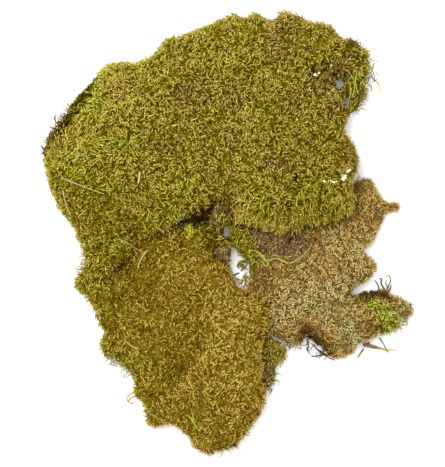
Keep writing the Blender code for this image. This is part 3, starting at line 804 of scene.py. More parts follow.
def plant(
    name, finish, slot, shoots, place, normal, heading, size, sink, hue, light, dice, droop=1.0, gaps=None,
):
    """One mesh of shoots, each with its own place, heading, size, hue and light."""
    count = len(place)
    steep = 1 - np.clip(normal[:, 2:], 0, 1)
    flat = np.stack([np.cos(heading), np.sin(heading), np.zeros(count)], 1)
    flat += droop * steep * (normal * (1, 1, 0) * OUTWARD + (0, 0, -1.0))
    ahead = flat - normal * (flat * normal).sum(1)[:, None]
    ahead /= np.linalg.norm(ahead, axis=1)[:, None]
    axes = np.stack([np.cross(ahead, normal), ahead, normal], 1)
    root = place - normal * np.asarray(sink)[:, None]
    kind = dice.integers(0, len(shoots), count)

    points, corners, starts, spots = [], [], [], []
    point_count = corner_count = 0
    for number, shoot in enumerate(shoots):
        mine = np.flatnonzero(kind == number)
        local = shoot["places"][None] * size[mine, None, None]
        placed = np.einsum("nvk,nkc->nvc", local, axes[mine]) + root[mine, None]
        free = clear_of(placed[:, ::2], OPEN_PLACES if gaps is None else gaps)
        mine, placed = mine[free], placed[free]
        if not len(mine):
            continue
        many, corner_total = len(shoot["places"]), len(shoot["corners"])
        order = np.arange(len(mine))[:, None]
        points.append(placed.reshape(-1, 3))
        corners.append((shoot["corners"][None] + order * many + point_count).ravel())
        starts.append((shoot["starts"][None] + order * corner_total + corner_count).ravel())
        u = hue[mine, None] + HUE_WIDTH * shoot["aside"][None]
        # The light rises from painted shade at the root to the tip, and the whorls get painted highlights in
        # turn.
        rise = ROOT_LIGHT + (1 - ROOT_LIGHT) * shoot["along"][None]
        first = dice.choice((-1, 1), len(mine))[:, None]
        v = light[mine, None] * rise * (1 + LEAF_HIGHLIGHT * first * shoot["beat"][None])
        spots.append(np.stack([u, v], 2).reshape(-1, 2))
        point_count += many * len(mine)
        corner_count += corner_total * len(mine)
    joined_mesh(name, finish, slot, points, corners, starts, spots)


# %% [markdown]
# ## The upper mat
#
# The thick green mat. Its shoots lie every way in small swirls, are freshest towards the left and the
# lower lip, and are browner in a few worn patches. On the lip they are long and combed downwards. The
# side at the upper left is painted dark as its own shade, and so is a crack in the lip; towards the torn
# right end the shoots thin out.

# %% Upper mat: how it varies
upper = skin("upper_mat")
UPPER_HUES = [
    (-85, 58, 34, 0.14), (-20, 108, 30, 0.02), (-80, -14, 18, 0.1), (46, 20, 14, 0.08), (6, 24, 12, -0.04),
    (-45, 50, 12, -0.24), (-40, 58, 9, -0.14), (0, 62, 20, -0.14), (60, 65, 15, -0.12), (66, 97, 7, -0.38),
    (20, 100, 16, -0.1), (40, 118, 16, -0.16), (-66, -22, 5, -0.4), (60, 108, 14, -0.12),
    (75, 114, 5, -0.4), (78, 92, 7, 0.25), (-104, 54, 8, -0.35), (-70, 88, 9, -0.12), (64, 14, 12, -0.1),
    (-35, 4, 12, -0.08), (77, 74, 4, -0.3), (-58, 2, 6, -0.3), (-48, 66, 6, -0.3), (-62, 84, 6, -0.25),
    (64, 74, 6, -0.3), (80, 104, 7, -0.2), (-94, -4, 6, -0.3), (28, 78, 9, -0.15), (-10, 88, 8, -0.12),
    (30, 40, 9, -0.12), (-30, 30, 9, 0.06), (-28, 34, 9, -0.14), (-93, 28, 12, -0.07), (-90, 8, 8, -0.08),
    (26, 64, 8, -0.05), (52, 16, 8, -0.14), (-42, 74, 8, -0.06), (-104, 49, 4, 0.25), (-2, 127, 8, 0.08),
    (-60, -24, 3.5, -0.45), (74, 115, 4, -0.2), (52, 14, 9, -0.1),
]
UPPER_LIGHTS = [
    (-85, 58, 34, 0.05), (-55, 96, 16, 0.06), (-2, 24, 8, -0.2), (-17, 11, 5, -0.42), (76, 94, 12, 0.2),
    (-78, -4, 13, -0.12), (70, 14, 9, -0.1), (22, 122, 12, 0.04), (-45, 50, 10, -0.08), (-63, -17, 4, -0.4),
    (76, 113, 5, -0.3), (58, 11, 7, -0.1), (26, 14, 6, -0.1), (-58, 2, 4, -0.25), (-30, 12, 6, -0.1),
    (6, 127, 14, 0.09), (-67, 102, 8, 0.11), (-80, 88, 6, 0.14), (-8, 86, 13, 0.08), (44, 93, 12, -0.07),
    (-72, 75, 11, -0.05), (-93, 58, 8, -0.1), (-62, 47, 10, 0.07), (-93, 34, 8, -0.16), (-82, 22, 8, -0.12),
    (-88, 8, 9, -0.14), (-67, 10, 9, -0.08), (-2, 31, 11, 0.1), (-14, 21, 7, 0.1), (60, 22, 8, -0.14),
    (44, 9, 9, -0.08), (80, 93, 7, 0.1), (66, 86, 6, 0.06), (-44, 62, 9, 0.09), (-62, 102, 7, 0.08),
    (-80, 88, 5, 0.08), (-14, 86, 12, 0.05), (52, 101, 6, 0.09), (79, 76, 5, 0.2), (78, 88, 6, 0.1),
    (-105, 49, 4, 0.14), (-91, 34, 6, -0.08), (-80, 30, 6, -0.06), (-1, 34, 8, 0.08), (26, 36, 7, 0.06),
    (-8, 22, 8, 0.12), (-27, 10, 6, 0.1), (8, 127, 12, 0.04), (77, 76, 5, 0.12), (-14, 10, 6, 0.22),
    (-27, 9, 6, 0.2), (-93, 34, 9, -0.08), (-80, 22, 8, -0.07), (-94, 60, 7, -0.06), (52, 22, 12, -0.08),
    (28, 9, 9, -0.06), (-6, 62, 9, -0.06), (12, 75, 7, -0.05), (36, 88, 10, -0.04), (-54, 9, 7, -0.07),
    (79, 88, 6, 0.1), (-62, 102, 6, 0.06), (26, 34, 6, 0.04), (-80, 88, 4, 0.12), (52, 36, 6, -0.06),
]
# Routes of painted shade: the upper left side of the mat, and a crack in the lip.
SHADED_SIDE_BAND = [(-82, 87.5), (-87, 81.5), (-92.5, 74.5), (-98, 67), (-103, 60)]
LIP_CRACK_SHADE = [(42, 32), (39, 25), (37, 19), (35, 13)]
WORN_END = [(72, 118), (82, 109), (85, 96), (82, 84), (77, 73)]
LIP = [(12, 13), (24, 11), (36, 9), (48, 12), (60, 15), (70, 20)]
DEAD_HUE = 0.12
DEAD_SPREAD = 0.06
DEAD_LIGHTER = 0.10


def upper_thick(place):
    """How thickly the upper mat is grown."""
    worn = 0.5 * near(place, WORN_END, 9.0) + 0.4 * near(place, [(66, 92), (69.6, 89)], 4.0)
    return 1 - worn - 0.4 * near(place, [(-106, 58), (-107, 48)], 5.0)


def dead_ones(hue, light, dice, share):
    """Turns a share of the shoots pale brown, the dead ones that lie among the living."""
    dead = dice.random(len(hue)) < share
    brown = dice.normal(DEAD_HUE, DEAD_SPREAD, len(hue))
    return np.where(dead, brown, hue), light + DEAD_LIGHTER * dead


def varied(place, dice, base, marks, clouds, chance, strength=1.0):
    """A value for each place: a base, its patches, clouds in two sizes and a spread of chance."""
    value = base + strength * patches(place, marks)
    for amount, size, at in clouds:
        value += amount * cloudy(place, size, at)
    return value + dice.normal(0, chance, len(place))


def upper_look(place, dice, dead=0.13):
    """Hue and light of the upper mat's shoots at these places."""
    hue = varied(place, dice, 0.50, UPPER_HUES, ((0.36, 16, 1.3), (0.28, 3.6, 5.1)), 0.16)
    light = varied(place, dice, 0.85, UPPER_LIGHTS, ((0.22, 16, 3.9), (0.10, 3, 9.7)), 0.25)
    # Painted shade: darker along the upper left side, which faces away from the light, and along the crack
    # in the lip.
    light -= 0.60 * near(place, SHADED_SIDE_BAND, 3.6) + 0.38 * near(place, LIP_CRACK_SHADE, 2.4)
    return dead_ones(hue, light, dice, dead)


def swirl(place, size, at, turns=1.5):
    """Headings that wander slowly over the mat."""
    return 2 * np.pi * turns * cloudy(place, size, at)


def kept(values, least=0.03, most=0.97):
    """Hues and lights that stay on the map."""
    return np.clip(values, least, most)


print("upper mat:", len(UPPER_HUES), "hue patches and", len(UPPER_LIGHTS), "light patches")

# %% Upper mat: shoots
SUNKEN = 4.0
STEEP_SIZE = 0.75


def upper_shoots(name, count, shoots, sizes, depth, seed, thick, spread=0.9):
    """One crop of the upper mat; shoots are smaller on steep ground."""
    dice = np.random.default_rng(seed)
    place, normal = sow(upper, count, dice, thick)
    heading = swirl(place, 9, 2.2) + dice.normal(0, spread, count)
    level = np.clip(normal[:, 2], 0, 1)
    size = dice.uniform(*sizes, count) * (STEEP_SIZE + (1 - STEEP_SIZE) * level)
    sink = dice.uniform(*depth, count)
    sink += SUNKEN * near(place, WORN_MIDDLE, WORN_WIDE)
    look = map(kept, upper_look(place, dice))
    plant(name, GREEN, "green_moss", shoots, place, normal, heading, size, sink, *look, dice)


upper_shoots("upper_under_shoots", 1800, plain_shoots, (1.0, 1.3), (3.2, 4.6), 11, upper_thick)
upper_shoots("upper_short_shoots", 10000, plain_shoots, (0.58, 0.95), (1.5, 2.8), 14, upper_thick)
upper_shoots(
    "upper_shoots_west", 3300, leafy_shoots, (0.55, 0.9), (1.6, 3.1), 12,
    lambda place: upper_thick(place) * (place[:, 0] < -5), 0.7,
)
upper_shoots(
    "upper_shoots_east", 3300, leafy_shoots, (0.55, 0.9), (1.6, 3.1), 13,
    lambda place: upper_thick(place) * (place[:, 0] >= -5), 0.7,
)
upper_shoots("upper_long_strands", 420, long_shoots, (0.55, 0.8), (1.6, 3.0), 16, upper_thick, 1.6)

# %% Flowing strands on the west side, and the shaded side itself
FLOW = [(-92, 56), (-80, 62), (-70, 72), (-62, 84)]
LOW_FLOW = [(-96, 30), (-80, 40)]
FULL_TURN = 6.28
dice = np.random.default_rng(18)
count = 900
place, normal = sow(
    upper, count, dice, lambda place: near(place, FLOW, 17.0) + 0.25 * near(place, LOW_FLOW, 12.0),
)
heading = swirl(place, 26, 7.4, 1.2) + dice.normal(-0.9, 0.35, count) + np.pi * dice.integers(0, 2, count)
hue, light = upper_look(place, dice, 0.05)
plant(
    "west_strands", GREEN, "green_moss", combed_shoots, place, normal, heading,
    dice.uniform(0.55, 0.9, count), dice.uniform(1.2, 2.6, count), kept(hue + 0.1), kept(light + 0.04),
    dice,
)
# Painted shade: near-black shoots on the upper left side, lighter at its foot.
count = 620
place, normal = sow(upper, count, dice, lambda place: near(place, SHADED_SIDE_BAND, 2.6), OVERHANGS_TOO)
plant(
    "shaded_side_shoots", GREEN, "green_moss", plain_shoots, place, normal,
    dice.uniform(0, FULL_TURN, count), dice.uniform(0.6, 1.0, count), dice.uniform(0.4, 2.4, count),
    kept(dice.normal(0.6, 0.2, count)),
    kept(dice.normal(0.12, 0.09, count) + 0.3 * (place[:, 2] < 4.5), 0.02), dice, droop=0.3,
)

# %% Shoots that stand out from the rim
RIM = [
    (-93, 75), (-82, 90), (-70, 99), (-52, 101), (-42, 106), (-30, 119), (-8, 126), (12, 134), (22, 132),
    (34, 136), (52, 131), (66, 124),
]
WEST_RIM = [(-108, 46), (-106, 30), (-100, 16), (-90, 0), (-84, -12)]
for name, route, way, count, brighter in (
    ("rim_shoots", RIM, 120, 900, 0.12),
    ("west_rim_shoots", WEST_RIM, 190, 420, 0.0),
):
    place, normal = sow(upper, count, dice, lambda place: near(place, route, 2.6))
    hue, light = upper_look(place, dice, 0.08)
    heading = np.radians(dice.normal(way, 42, count))
    plant(
        name, GREEN, "green_moss", leafy_shoots, place, normal, heading, dice.uniform(0.5, 0.9, count),
        dice.uniform(0.4, 2.0, count), kept(hue + 0.06), kept(light + brighter), dice, droop=0.1,
    )

# %% The combed lip
dice = np.random.default_rng(15)
count = 760
place, normal = sow(upper, count, dice, lambda place: near(place, LIP, 9.0))
heading = np.radians(dice.normal(-105, 26, count))
hue, light = upper_look(place, dice)
plant(
    "lip_shoots", GREEN, "green_moss", long_shoots, place, normal, heading,
    dice.uniform(0.7, 1.0, count), dice.uniform(2.0, 3.6, count), kept(hue + 0.08), kept(light - 0.05, 0.08),
    dice,
)

# %% Shoots hanging into the tear, painted near black as the shade under the lip
SHADED_TEAR_BACK = [(-24, 8), (-18, 7), (-13, 10)]


def scatter(
    name, surface, thick, finish, slot, shoots, count, dice, way, sizes, depth, hue, light,
    lowest=SIDES_TOO, **more,
):
    """Shoots that vary round one hue and one light, each given as its middle, spread and limits.

    `way` is their heading and its spread in degrees, or None where they lie every way."""
    place, normal = sow(surface, count, dice, thick, lowest)
    heading = np.radians(dice.normal(*way, count)) if way else dice.uniform(0, FULL_TURN, count)
    size = dice.uniform(*sizes, count)
    sink = dice.uniform(*depth, count)
    look = [kept(dice.normal(middle, spread, count), *limits) for middle, spread, *limits in (hue, light)]
    plant(name, finish, slot, shoots, place, normal, heading, size, sink, *look, dice, **more)


# Painted shade: these shoots are nearly black, for the shade at the back of the tear under the lip.
scatter(
    "hanging_shoots", upper, lambda place: near(place, SHADED_TEAR_BACK, 2.6) * (place[:, 0] > -21),
    GREEN, "green_moss", leafy_shoots, 170, np.random.default_rng(17),
    (-80, 35), (0.7, 1.1), (0.4, 1.8), (0.45, 0.2), (0.05, 0.06, 0.01), OVERHANGS_TOO, droop=0.4,
)

# %% [markdown]
# ## The golden mat
#
# Older and drier, with shorter and finer shoots, and a flap of its own growth folded over it. The flap is
# lighter, with painted light along its ridge, and painted shade darkens the hollow along its left side and
# the ground just under the upper mat's lip.

# %% Golden mat
lower = skin("lower_mat")
LOWER_HUES = [
    (-75, -40, 14, 0.25), (-70, -20, 12, 0.25), (-45, -10, 16, 0.2), (-20, -2, 12, 0.25),
    (-19, -113, 5, 0.5), (16, -50, 8, 0.12), (-60, -80, 12, 0.15), (-60, -100, 7, 0.1), (-84, -28, 7, 0.25),
    (18, -88, 7, 0.15), (-50, -55, 18, 0.1), (-30, -60, 9, -0.15), (4, -74, 8, -0.12), (-22, -28, 9, -0.1),
    (-46, -36, 7, -0.15), (6, -98, 9, -0.12), (-55, -24, 9, 0.12), (-54, -70, 8, 0.08), (-28, -57, 7, 0.08),
    (-60, -24, 3.5, -0.4), (-54, -18, 12, 0.08), (-50, -65, 14, 0.08), (-4, -3, 6, 0.35),
    (-45, -75, 20, 0.1), (-70, -48, 12, 0.12),
]
LOWER_LIGHTS = [
    (-18, -24, 14, 0.08), (6, -44, 14, 0.2), (-46, -52, 22, -0.1), (-27, -79, 10, -0.12),
    (4, -72, 20, 0.26), (-10, -105, 14, 0.08), (-28, -97, 8, 0.12), (-16, -6, 12, -0.12),
    (-5, -3, 7, -0.12), (-72, -12, 8, -0.2), (-80, -40, 8, -0.08), (-40, -112, 6, 0.08),
    (20, -60, 5, -0.12), (-10, -124, 9, 0.06), (-14, -22, 9, 0.1), (-4, -31, 9, 0.11), (-12, -5, 7, 0.1),
    (-40, -3, 8, 0.1), (-56, -31, 9, -0.13), (-40, -24, 11, -0.05), (-67, -44, 8, -0.13),
    (-50, -45, 8, -0.04), (2, -46, 9, 0.07), (-2, -57, 7, 0.06), (12, -72, 6, 0.12), (-30, -70, 9, -0.06),
    (11, -86, 6, 0.08), (10, -99, 6, 0.12), (-14, -97, 6, -0.08), (-27, -110, 6, -0.2), (9, -111, 6, 0.14),
    (-14, -123, 7, 0.16), (-80, -31, 4, 0.18), (2, -50, 22, 0.12), (10, -90, 14, 0.12), (-6, -66, 12, 0.06),
    (10, -40, 9, 0.12), (13, -62, 8, 0.08), (-20, -8, 16, 0.06), (-1, -31, 7, 0.05), (12, -70, 6, 0.05),
    (-66, -70, 5, 0.13), (-54, -97, 6, 0.14), (-67, -17, 4, 0.1), (-54, -26, 12, -0.1),
    (-67, -42, 8, -0.08), (-40, -20, 9, -0.06), (-26, -17, 7, -0.06), (-40, -42, 9, -0.04),
    (-24, -70, 9, -0.1), (-1, -31, 6, 0.06), (12, -70, 5, 0.06), (11, -97, 5, 0.08), (-27, -110, 5, -0.1),
    (9, -111, 5, 0.08), (-14, -97, 5, -0.07),
]
# Routes of painted light and shade: the fold's hollow and ridge, and the ground under the upper mat's lip.
FOLD_SHADE = [(-13, -54), (-15, -62), (-18, -70), (-26, -80), (-36, -88), (-46, -97)]
LIT_FOLD_RIDGE = [(-6, -50), (-8, -60), (-11, -69), (-18, -79), (-28, -89), (-38, -98)]
SHADE_UNDER_LIP_WEST = [(-78, -25), (-70, -22), (-60, -13), (-50, -3), (-38, 0), (-30, 4)]


def lower_look(place, dice):
    """Hue and light of the golden mat's shoots at these places."""
    hue = varied(place, dice, 0.50, LOWER_HUES, ((0.24, 14, 3.3), (0.24, 4, 7.1)), 0.16)
    light = varied(place, dice, 0.765, LOWER_LIGHTS, ((0.40, 13, 1.9), (0.10, 3, 4.7)), 0.38, 1.25)
    # Painted light on the fold's ridge; painted shade in the hollow beside it and under the upper mat's lip.
    light += 0.10 * near(place, LIT_FOLD_RIDGE, 4.0)
    light -= 0.26 * near(place, FOLD_SHADE, 3.5) + 0.18 * near(place, SHADE_UNDER_LIP_WEST, 3.0)
    return dead_ones(hue, light, dice, 0.08)


GOLDEN_MAT = {
    "surface": lower, "thick": None, "look": lower_look, "finish": GOLDEN, "slot": "golden_moss",
    "swirl": (8, 6.2), "spread": 0.7,
}
FAINTEST = 0.12


def mat_shoots(mat, name, count, shoots, sizes, depth, seed, layer_shade=0.0):
    """One crop of a thin mat, dimmer by so much than the mat's own light: painted shade on lower layers,
    painted light where the amount is negative.
    """
    dice = np.random.default_rng(seed)
    place, normal = sow(mat["surface"], count, dice, mat["thick"])
    heading = swirl(place, *mat["swirl"]) + dice.normal(0, mat["spread"], count)
    size = dice.uniform(*sizes, count)
    sink = dice.uniform(*depth, count)
    hue, light = mat["look"](place, dice)
    look = kept(hue), kept(light - layer_shade, FAINTEST)
    plant(name, mat["finish"], mat["slot"], shoots, place, normal, heading, size, sink, *look, dice)


# Painted shade and light by layer: the under shoots are dimmer, the top shoots brighter.
mat_shoots(GOLDEN_MAT, "lower_under_shoots", 900, plain_shoots, (0.7, 0.95), (2.2, 3.2), 21, 0.28)
mat_shoots(GOLDEN_MAT, "lower_short_shoots", 4900, plain_shoots, (0.45, 0.75), (0.9, 1.9), 23, 0.07)
mat_shoots(GOLDEN_MAT, "lower_shoots", 3300, leafy_shoots, (0.5, 0.76), (1.0, 2.2), 22, -0.11)

# %% Shoots along its left edge
LEFT_EDGE = [(-88, -26), (-85, -40), (-78, -55), (-70, -72), (-58, -88), (-48, -106)]
scatter(
    "left_edge_shoots", lower,
    lambda place: near(place, LEFT_EDGE, 3.0) * (0.15 + np.maximum(cloudy(place, 3, 1.1), 0)),
    GREEN, "golden_moss", leafy_shoots, 520, np.random.default_rng(24),
    (212, 34), (0.7, 1.15), (1.0, 2.4), (0.55, 0.2), (0.6, 0.2, FAINTEST), droop=0.3,
)

# %% [markdown]
# ## The dry mat
#
# On the right the moss has dried to tan and grey, thin and tangled, with brown where peat comes through
# and one tuft that is still fresh green.

# %% Dry mat
right = skin("right_mat")
RIGHT_HUES = [
    (60, 6, 20, -0.1), (88, 8, 10, -0.2), (98, 15, 7, -0.2), (20, -16, 9, -0.1), (60, -48, 24, 0.15),
    (34, -45, 18, 0.09), (85, -37, 7, -0.5), (56, -66, 8, -0.5), (30, -63, 6, -0.25), (98, -58, 6, -0.3),
    (80, -54, 6, -0.25), (50, -60, 6, -0.4), (70, -30, 10, 0.1), (104, -47, 7, 0.1), (80, -24, 8, 0.1),
    (22, -28, 8, -0.12), (58, -22, 6, -0.22), (90, 10, 5, -0.2), (76, 24, 8, -0.1), (12, -17, 5, -0.2),
    (78, -57, 9, 0.26), (105, -46, 7, 0.24), (66, -70, 6, 0.24), (92, -57, 6, 0.16), (18, -30, 8, -0.05),
    (64, -48, 9, 0.08), (20, -27, 7, -0.28), (46, -60, 6, -0.3),
]
RIGHT_LIGHTS = [
    (85, -37, 5, -0.4), (57, -68, 6, -0.35), (60, -48, 22, 0.05), (79, -54, 5, -0.25), (94, -58, 5, -0.2),
    (104, -48, 6, -0.1), (50, -60, 5, -0.3), (24, -58, 5, -0.2), (12, 2, 8, -0.2), (75, -20, 8, 0.06),
    (30, -48, 8, 0.08), (88, 8, 8, 0.08), (60, 0, 12, 0.04), (46, -64, 4, -0.2), (18, -26, 6, -0.08),
    (33, -18, 9, -0.12), (91, 11, 7, 0.18), (58, 3, 11, -0.06), (26, -44, 8, 0.06), (52, -57, 6, 0.06),
    (65, -55, 6, -0.07), (66, -70, 5, 0.1), (64, -48, 9, -0.1), (32, -18, 9, -0.08), (40, -31, 7, -0.05),
    (92, 10, 6, 0.22), (24, -44, 7, 0.08), (30, -18, 9, -0.1), (64, -54, 7, -0.07), (18, -44, 5, 0.05),
    (26, 6, 5, -0.08), (52, -3, 6, -0.05), (105, -44, 4, -0.06), (20, -27, 7, 0.08), (50, -64, 6, -0.15),
    (46, -14, 16, -0.07), (94, -54, 8, -0.08), (24, -38, 7, 0.05),
]
SHADE_UNDER_LIP_EAST = [(6, 4), (16, 2), (27, -1), (38, -1), (48, 2), (60, 5), (72, 10), (78, 20), (80, 30)]
PEAT_PATCH = [(23, -6), (30, -6.5), (42, -6)]
RUNNER_LINE = [(12, -10), (20, -13), (25, -16), (30, -15), (35, -17), (41, -17), (49, -9)]
DARK_EDGES = [
    ([(74, -36), (82, -36.5), (92, -38), (97, -40)], 3.0),
    ([(47, -62), (52, -66), (57, -71), (62, -73)], 4.5),
    ([(84, -56), (92, -57), (100, -54)], 3.0),
]
FRESH_TUFT = [(87, -42), (91, -46), (96, -51), (99, -55)]


def right_thick(place):
    """How thickly the dry mat is grown."""
    bare = np.clip(2.2 * near(place, PEAT_PATCH, 6.8), 0, 0.95) + 0.6 * near(place, RUNNER_LINE, 1.5)
    return 1 - np.clip(bare + 0.75 * near(place, FRESH_TUFT, 3.5), 0, 0.97)


def right_look(place, dice):
    """Hue and light of the dry mat's shoots at these places."""
    hue = varied(place, dice, 0.5, RIGHT_HUES, ((0.26, 9, 8.3), (0.28, 3.2, 2.1)), 0.12)
    light = varied(place, dice, 0.85, RIGHT_LIGHTS, ((0.16, 9, 3.7), (0.12, 2.6, 6.7)), 0.13)
    # Painted shade under the upper mat's lip.
    light -= 0.36 * near(place, SHADE_UNDER_LIP_EAST, 3.5)
    for route, wide in DARK_EDGES:
        edge = near(place, route, wide)
        hue, light = hue - 0.3 * edge, light - 0.32 * edge
    return np.minimum(hue, 0.84), light


DRY_MAT = {
    "surface": right, "thick": right_thick, "look": right_look, "finish": DRY, "slot": "dry_moss",
    "swirl": (7, 1.2), "spread": 0.9,
}
mat_shoots(DRY_MAT, "right_under_shoots", 800, plain_shoots, (0.55, 0.8), (1.5, 2.3), 31, 0.16)
mat_shoots(DRY_MAT, "right_short_shoots", 2500, plain_shoots, (0.45, 0.7), (0.9, 1.6), 33, 0.05)
mat_shoots(DRY_MAT, "right_shoots", 4000, threads, (0.52, 0.95), (0.7, 1.5), 32)

# %% The fresh tuft
scatter(
    "fresh_tuft", right, lambda place: near(place, FRESH_TUFT, 2.8),
    DRY, "dry_moss", leafy_shoots, 150, np.random.default_rng(35),
    (-60, 50), (0.6, 1.1), (0.2, 1.4), (0.93, 0.02, 0.89), (0.66, 0.3, 0.1, 0.86),
)

# %% [markdown]
# ## Where the mats meet
#
# Mats that grew or were pushed together knit their shoots across the seam, so no table shows there. These
# shoots start on both sides of it and lean over to the other side.

# %% Seam shoots
SEAM = [(-18, 5), (-9, 0), (-3, -3), (4, -8)]
LONG_SEAM = [
    (12, -34.6), (18, -36.6), (23, -40), (25, -46), (24.6, -54), (23, -60), (21, -66), (20.8, -80),
    (21, -96),
]


def toward(place, route):
    """The heading from each place to the nearest point of a route."""
    aside = from_route(place, route)[1]
    return np.arctan2(-aside[:, 1], -aside[:, 0])


def seam_shoots(mat, name, route, count, seed, sizes):
    """Shoots of a mat that start near a seam and point at it."""
    dice = np.random.default_rng(seed)
    place, normal = sow(mat["surface"], count, dice, lambda place: near(place, route, 2.2))
    heading = toward(place, route) + dice.normal(0, 0.6, count)
    hue, light = mat["look"](place, dice)
    # A little dimmer than the mat: painted shade along the seam.
    plant(
        name, mat["finish"], mat["slot"], plain_shoots, place, normal, heading, dice.uniform(*sizes, count),
        dice.uniform(0.2, 1.4, count), kept(hue), kept(light - 0.1, FAINTEST), dice, droop=0.15,
    )


seam_shoots(GOLDEN_MAT, "seam_shoots_gold", LONG_SEAM, 520, 51, (0.6, 1.0))
seam_shoots(DRY_MAT, "seam_shoots_dry", LONG_SEAM, 300, 52, (0.6, 1.0))
seam_shoots(GOLDEN_MAT, "tear_shoots_gold", SEAM, 260, 53, (0.7, 1.1))

# %% Shoots that hang over the lower clod
CLOD_RIM = [(2.4, -7.4), (-4, -7), (-9, -8.6), (-9.8, -12), (-8, -15.6), (-3.6, -18)]
CLOD_MIDDLE = [(-4, -12), (-3.4, -12)]
dice = np.random.default_rng(55)
count = 240
place, normal = sow(lower, count, dice, lambda place: near(place, CLOD_RIM, 2.0))
heading = toward(place, CLOD_MIDDLE) + dice.normal(0, 0.6, count)
plant(
    "clod_rim_shoots", GOLDEN, "golden_moss", leafy_shoots, place, normal, heading,
    dice.uniform(0.5, 0.85, count), dice.uniform(0.2, 1.2, count), kept(dice.normal(0.6, 0.2, count)),
    kept(dice.normal(0.5, 0.22, count), 0.1), dice, droop=0.1,
)

# %% Green shoots beside the tear, and the bud
TEAR_EAST = [(3, -2), (8, -4), (11, -8), (14, -13), (15, -17)]
BUD = [(-23.2, 0.8), (-22.8, -1.6)]
BUD_MOSS = moss_finish("bud_moss", [(0.0, (222, 212, 60)), (1.0, (236, 232, 92))])
dice = np.random.default_rng(54)
scatter(
    "tear_shoots_green", right, lambda place: near(place, TEAR_EAST, 3.6),
    GREEN, "dry_moss", leafy_shoots, 330, dice,
    None, (0.6, 1.0), (0.2, 1.6), (0.66, 0.22), (0.55, 0.28, 0.1), droop=0.2,
)
scatter(
    "bud_shoots", lower, lambda place: near(place, BUD, 1.0),
    BUD_MOSS, "golden_moss", plain_shoots, 110, dice,
    None, (0.4, 0.6), (-1.6, 0.2), (0.5, 0.25), (0.78, 0.12),
)

# %% [markdown]
# ## Small pieces of moss
#
# A scrap beside the fold and a sprig in the hole carry the same shoots, smaller.

# %% Scrap and sprig
scrap, sprig = skin("side_scrap"), skin("loose_sprig")
dice = np.random.default_rng(41)
scatter(
    "side_scrap_shoots", scrap, lambda place: 0.10 + (place[:, 1] > -77),
    GREEN, "scrap_moss", leafy_shoots, 520, dice,
    None, (0.5, 0.8), (0.6, 2.0), (0.45, 0.25), (0.70, 0.26, 0.1),
)
scatter(
    "loose_sprig_shoots", sprig, None,
    GREEN, "green_moss", leafy_shoots, 16, dice,
    None, (0.4, 0.6), (0.8, 1.6), (0.6, 0.25), (0.5, 0.2, 0.1), gaps=[],
)

# %% [markdown]
# ## Wisps and rootlets
#
# Where a mat was pulled apart its old stems hang out, long, bare and curly. Each fringe is a row of wisps
# along a stretch of edge, given a way to point, a spread and a colour.

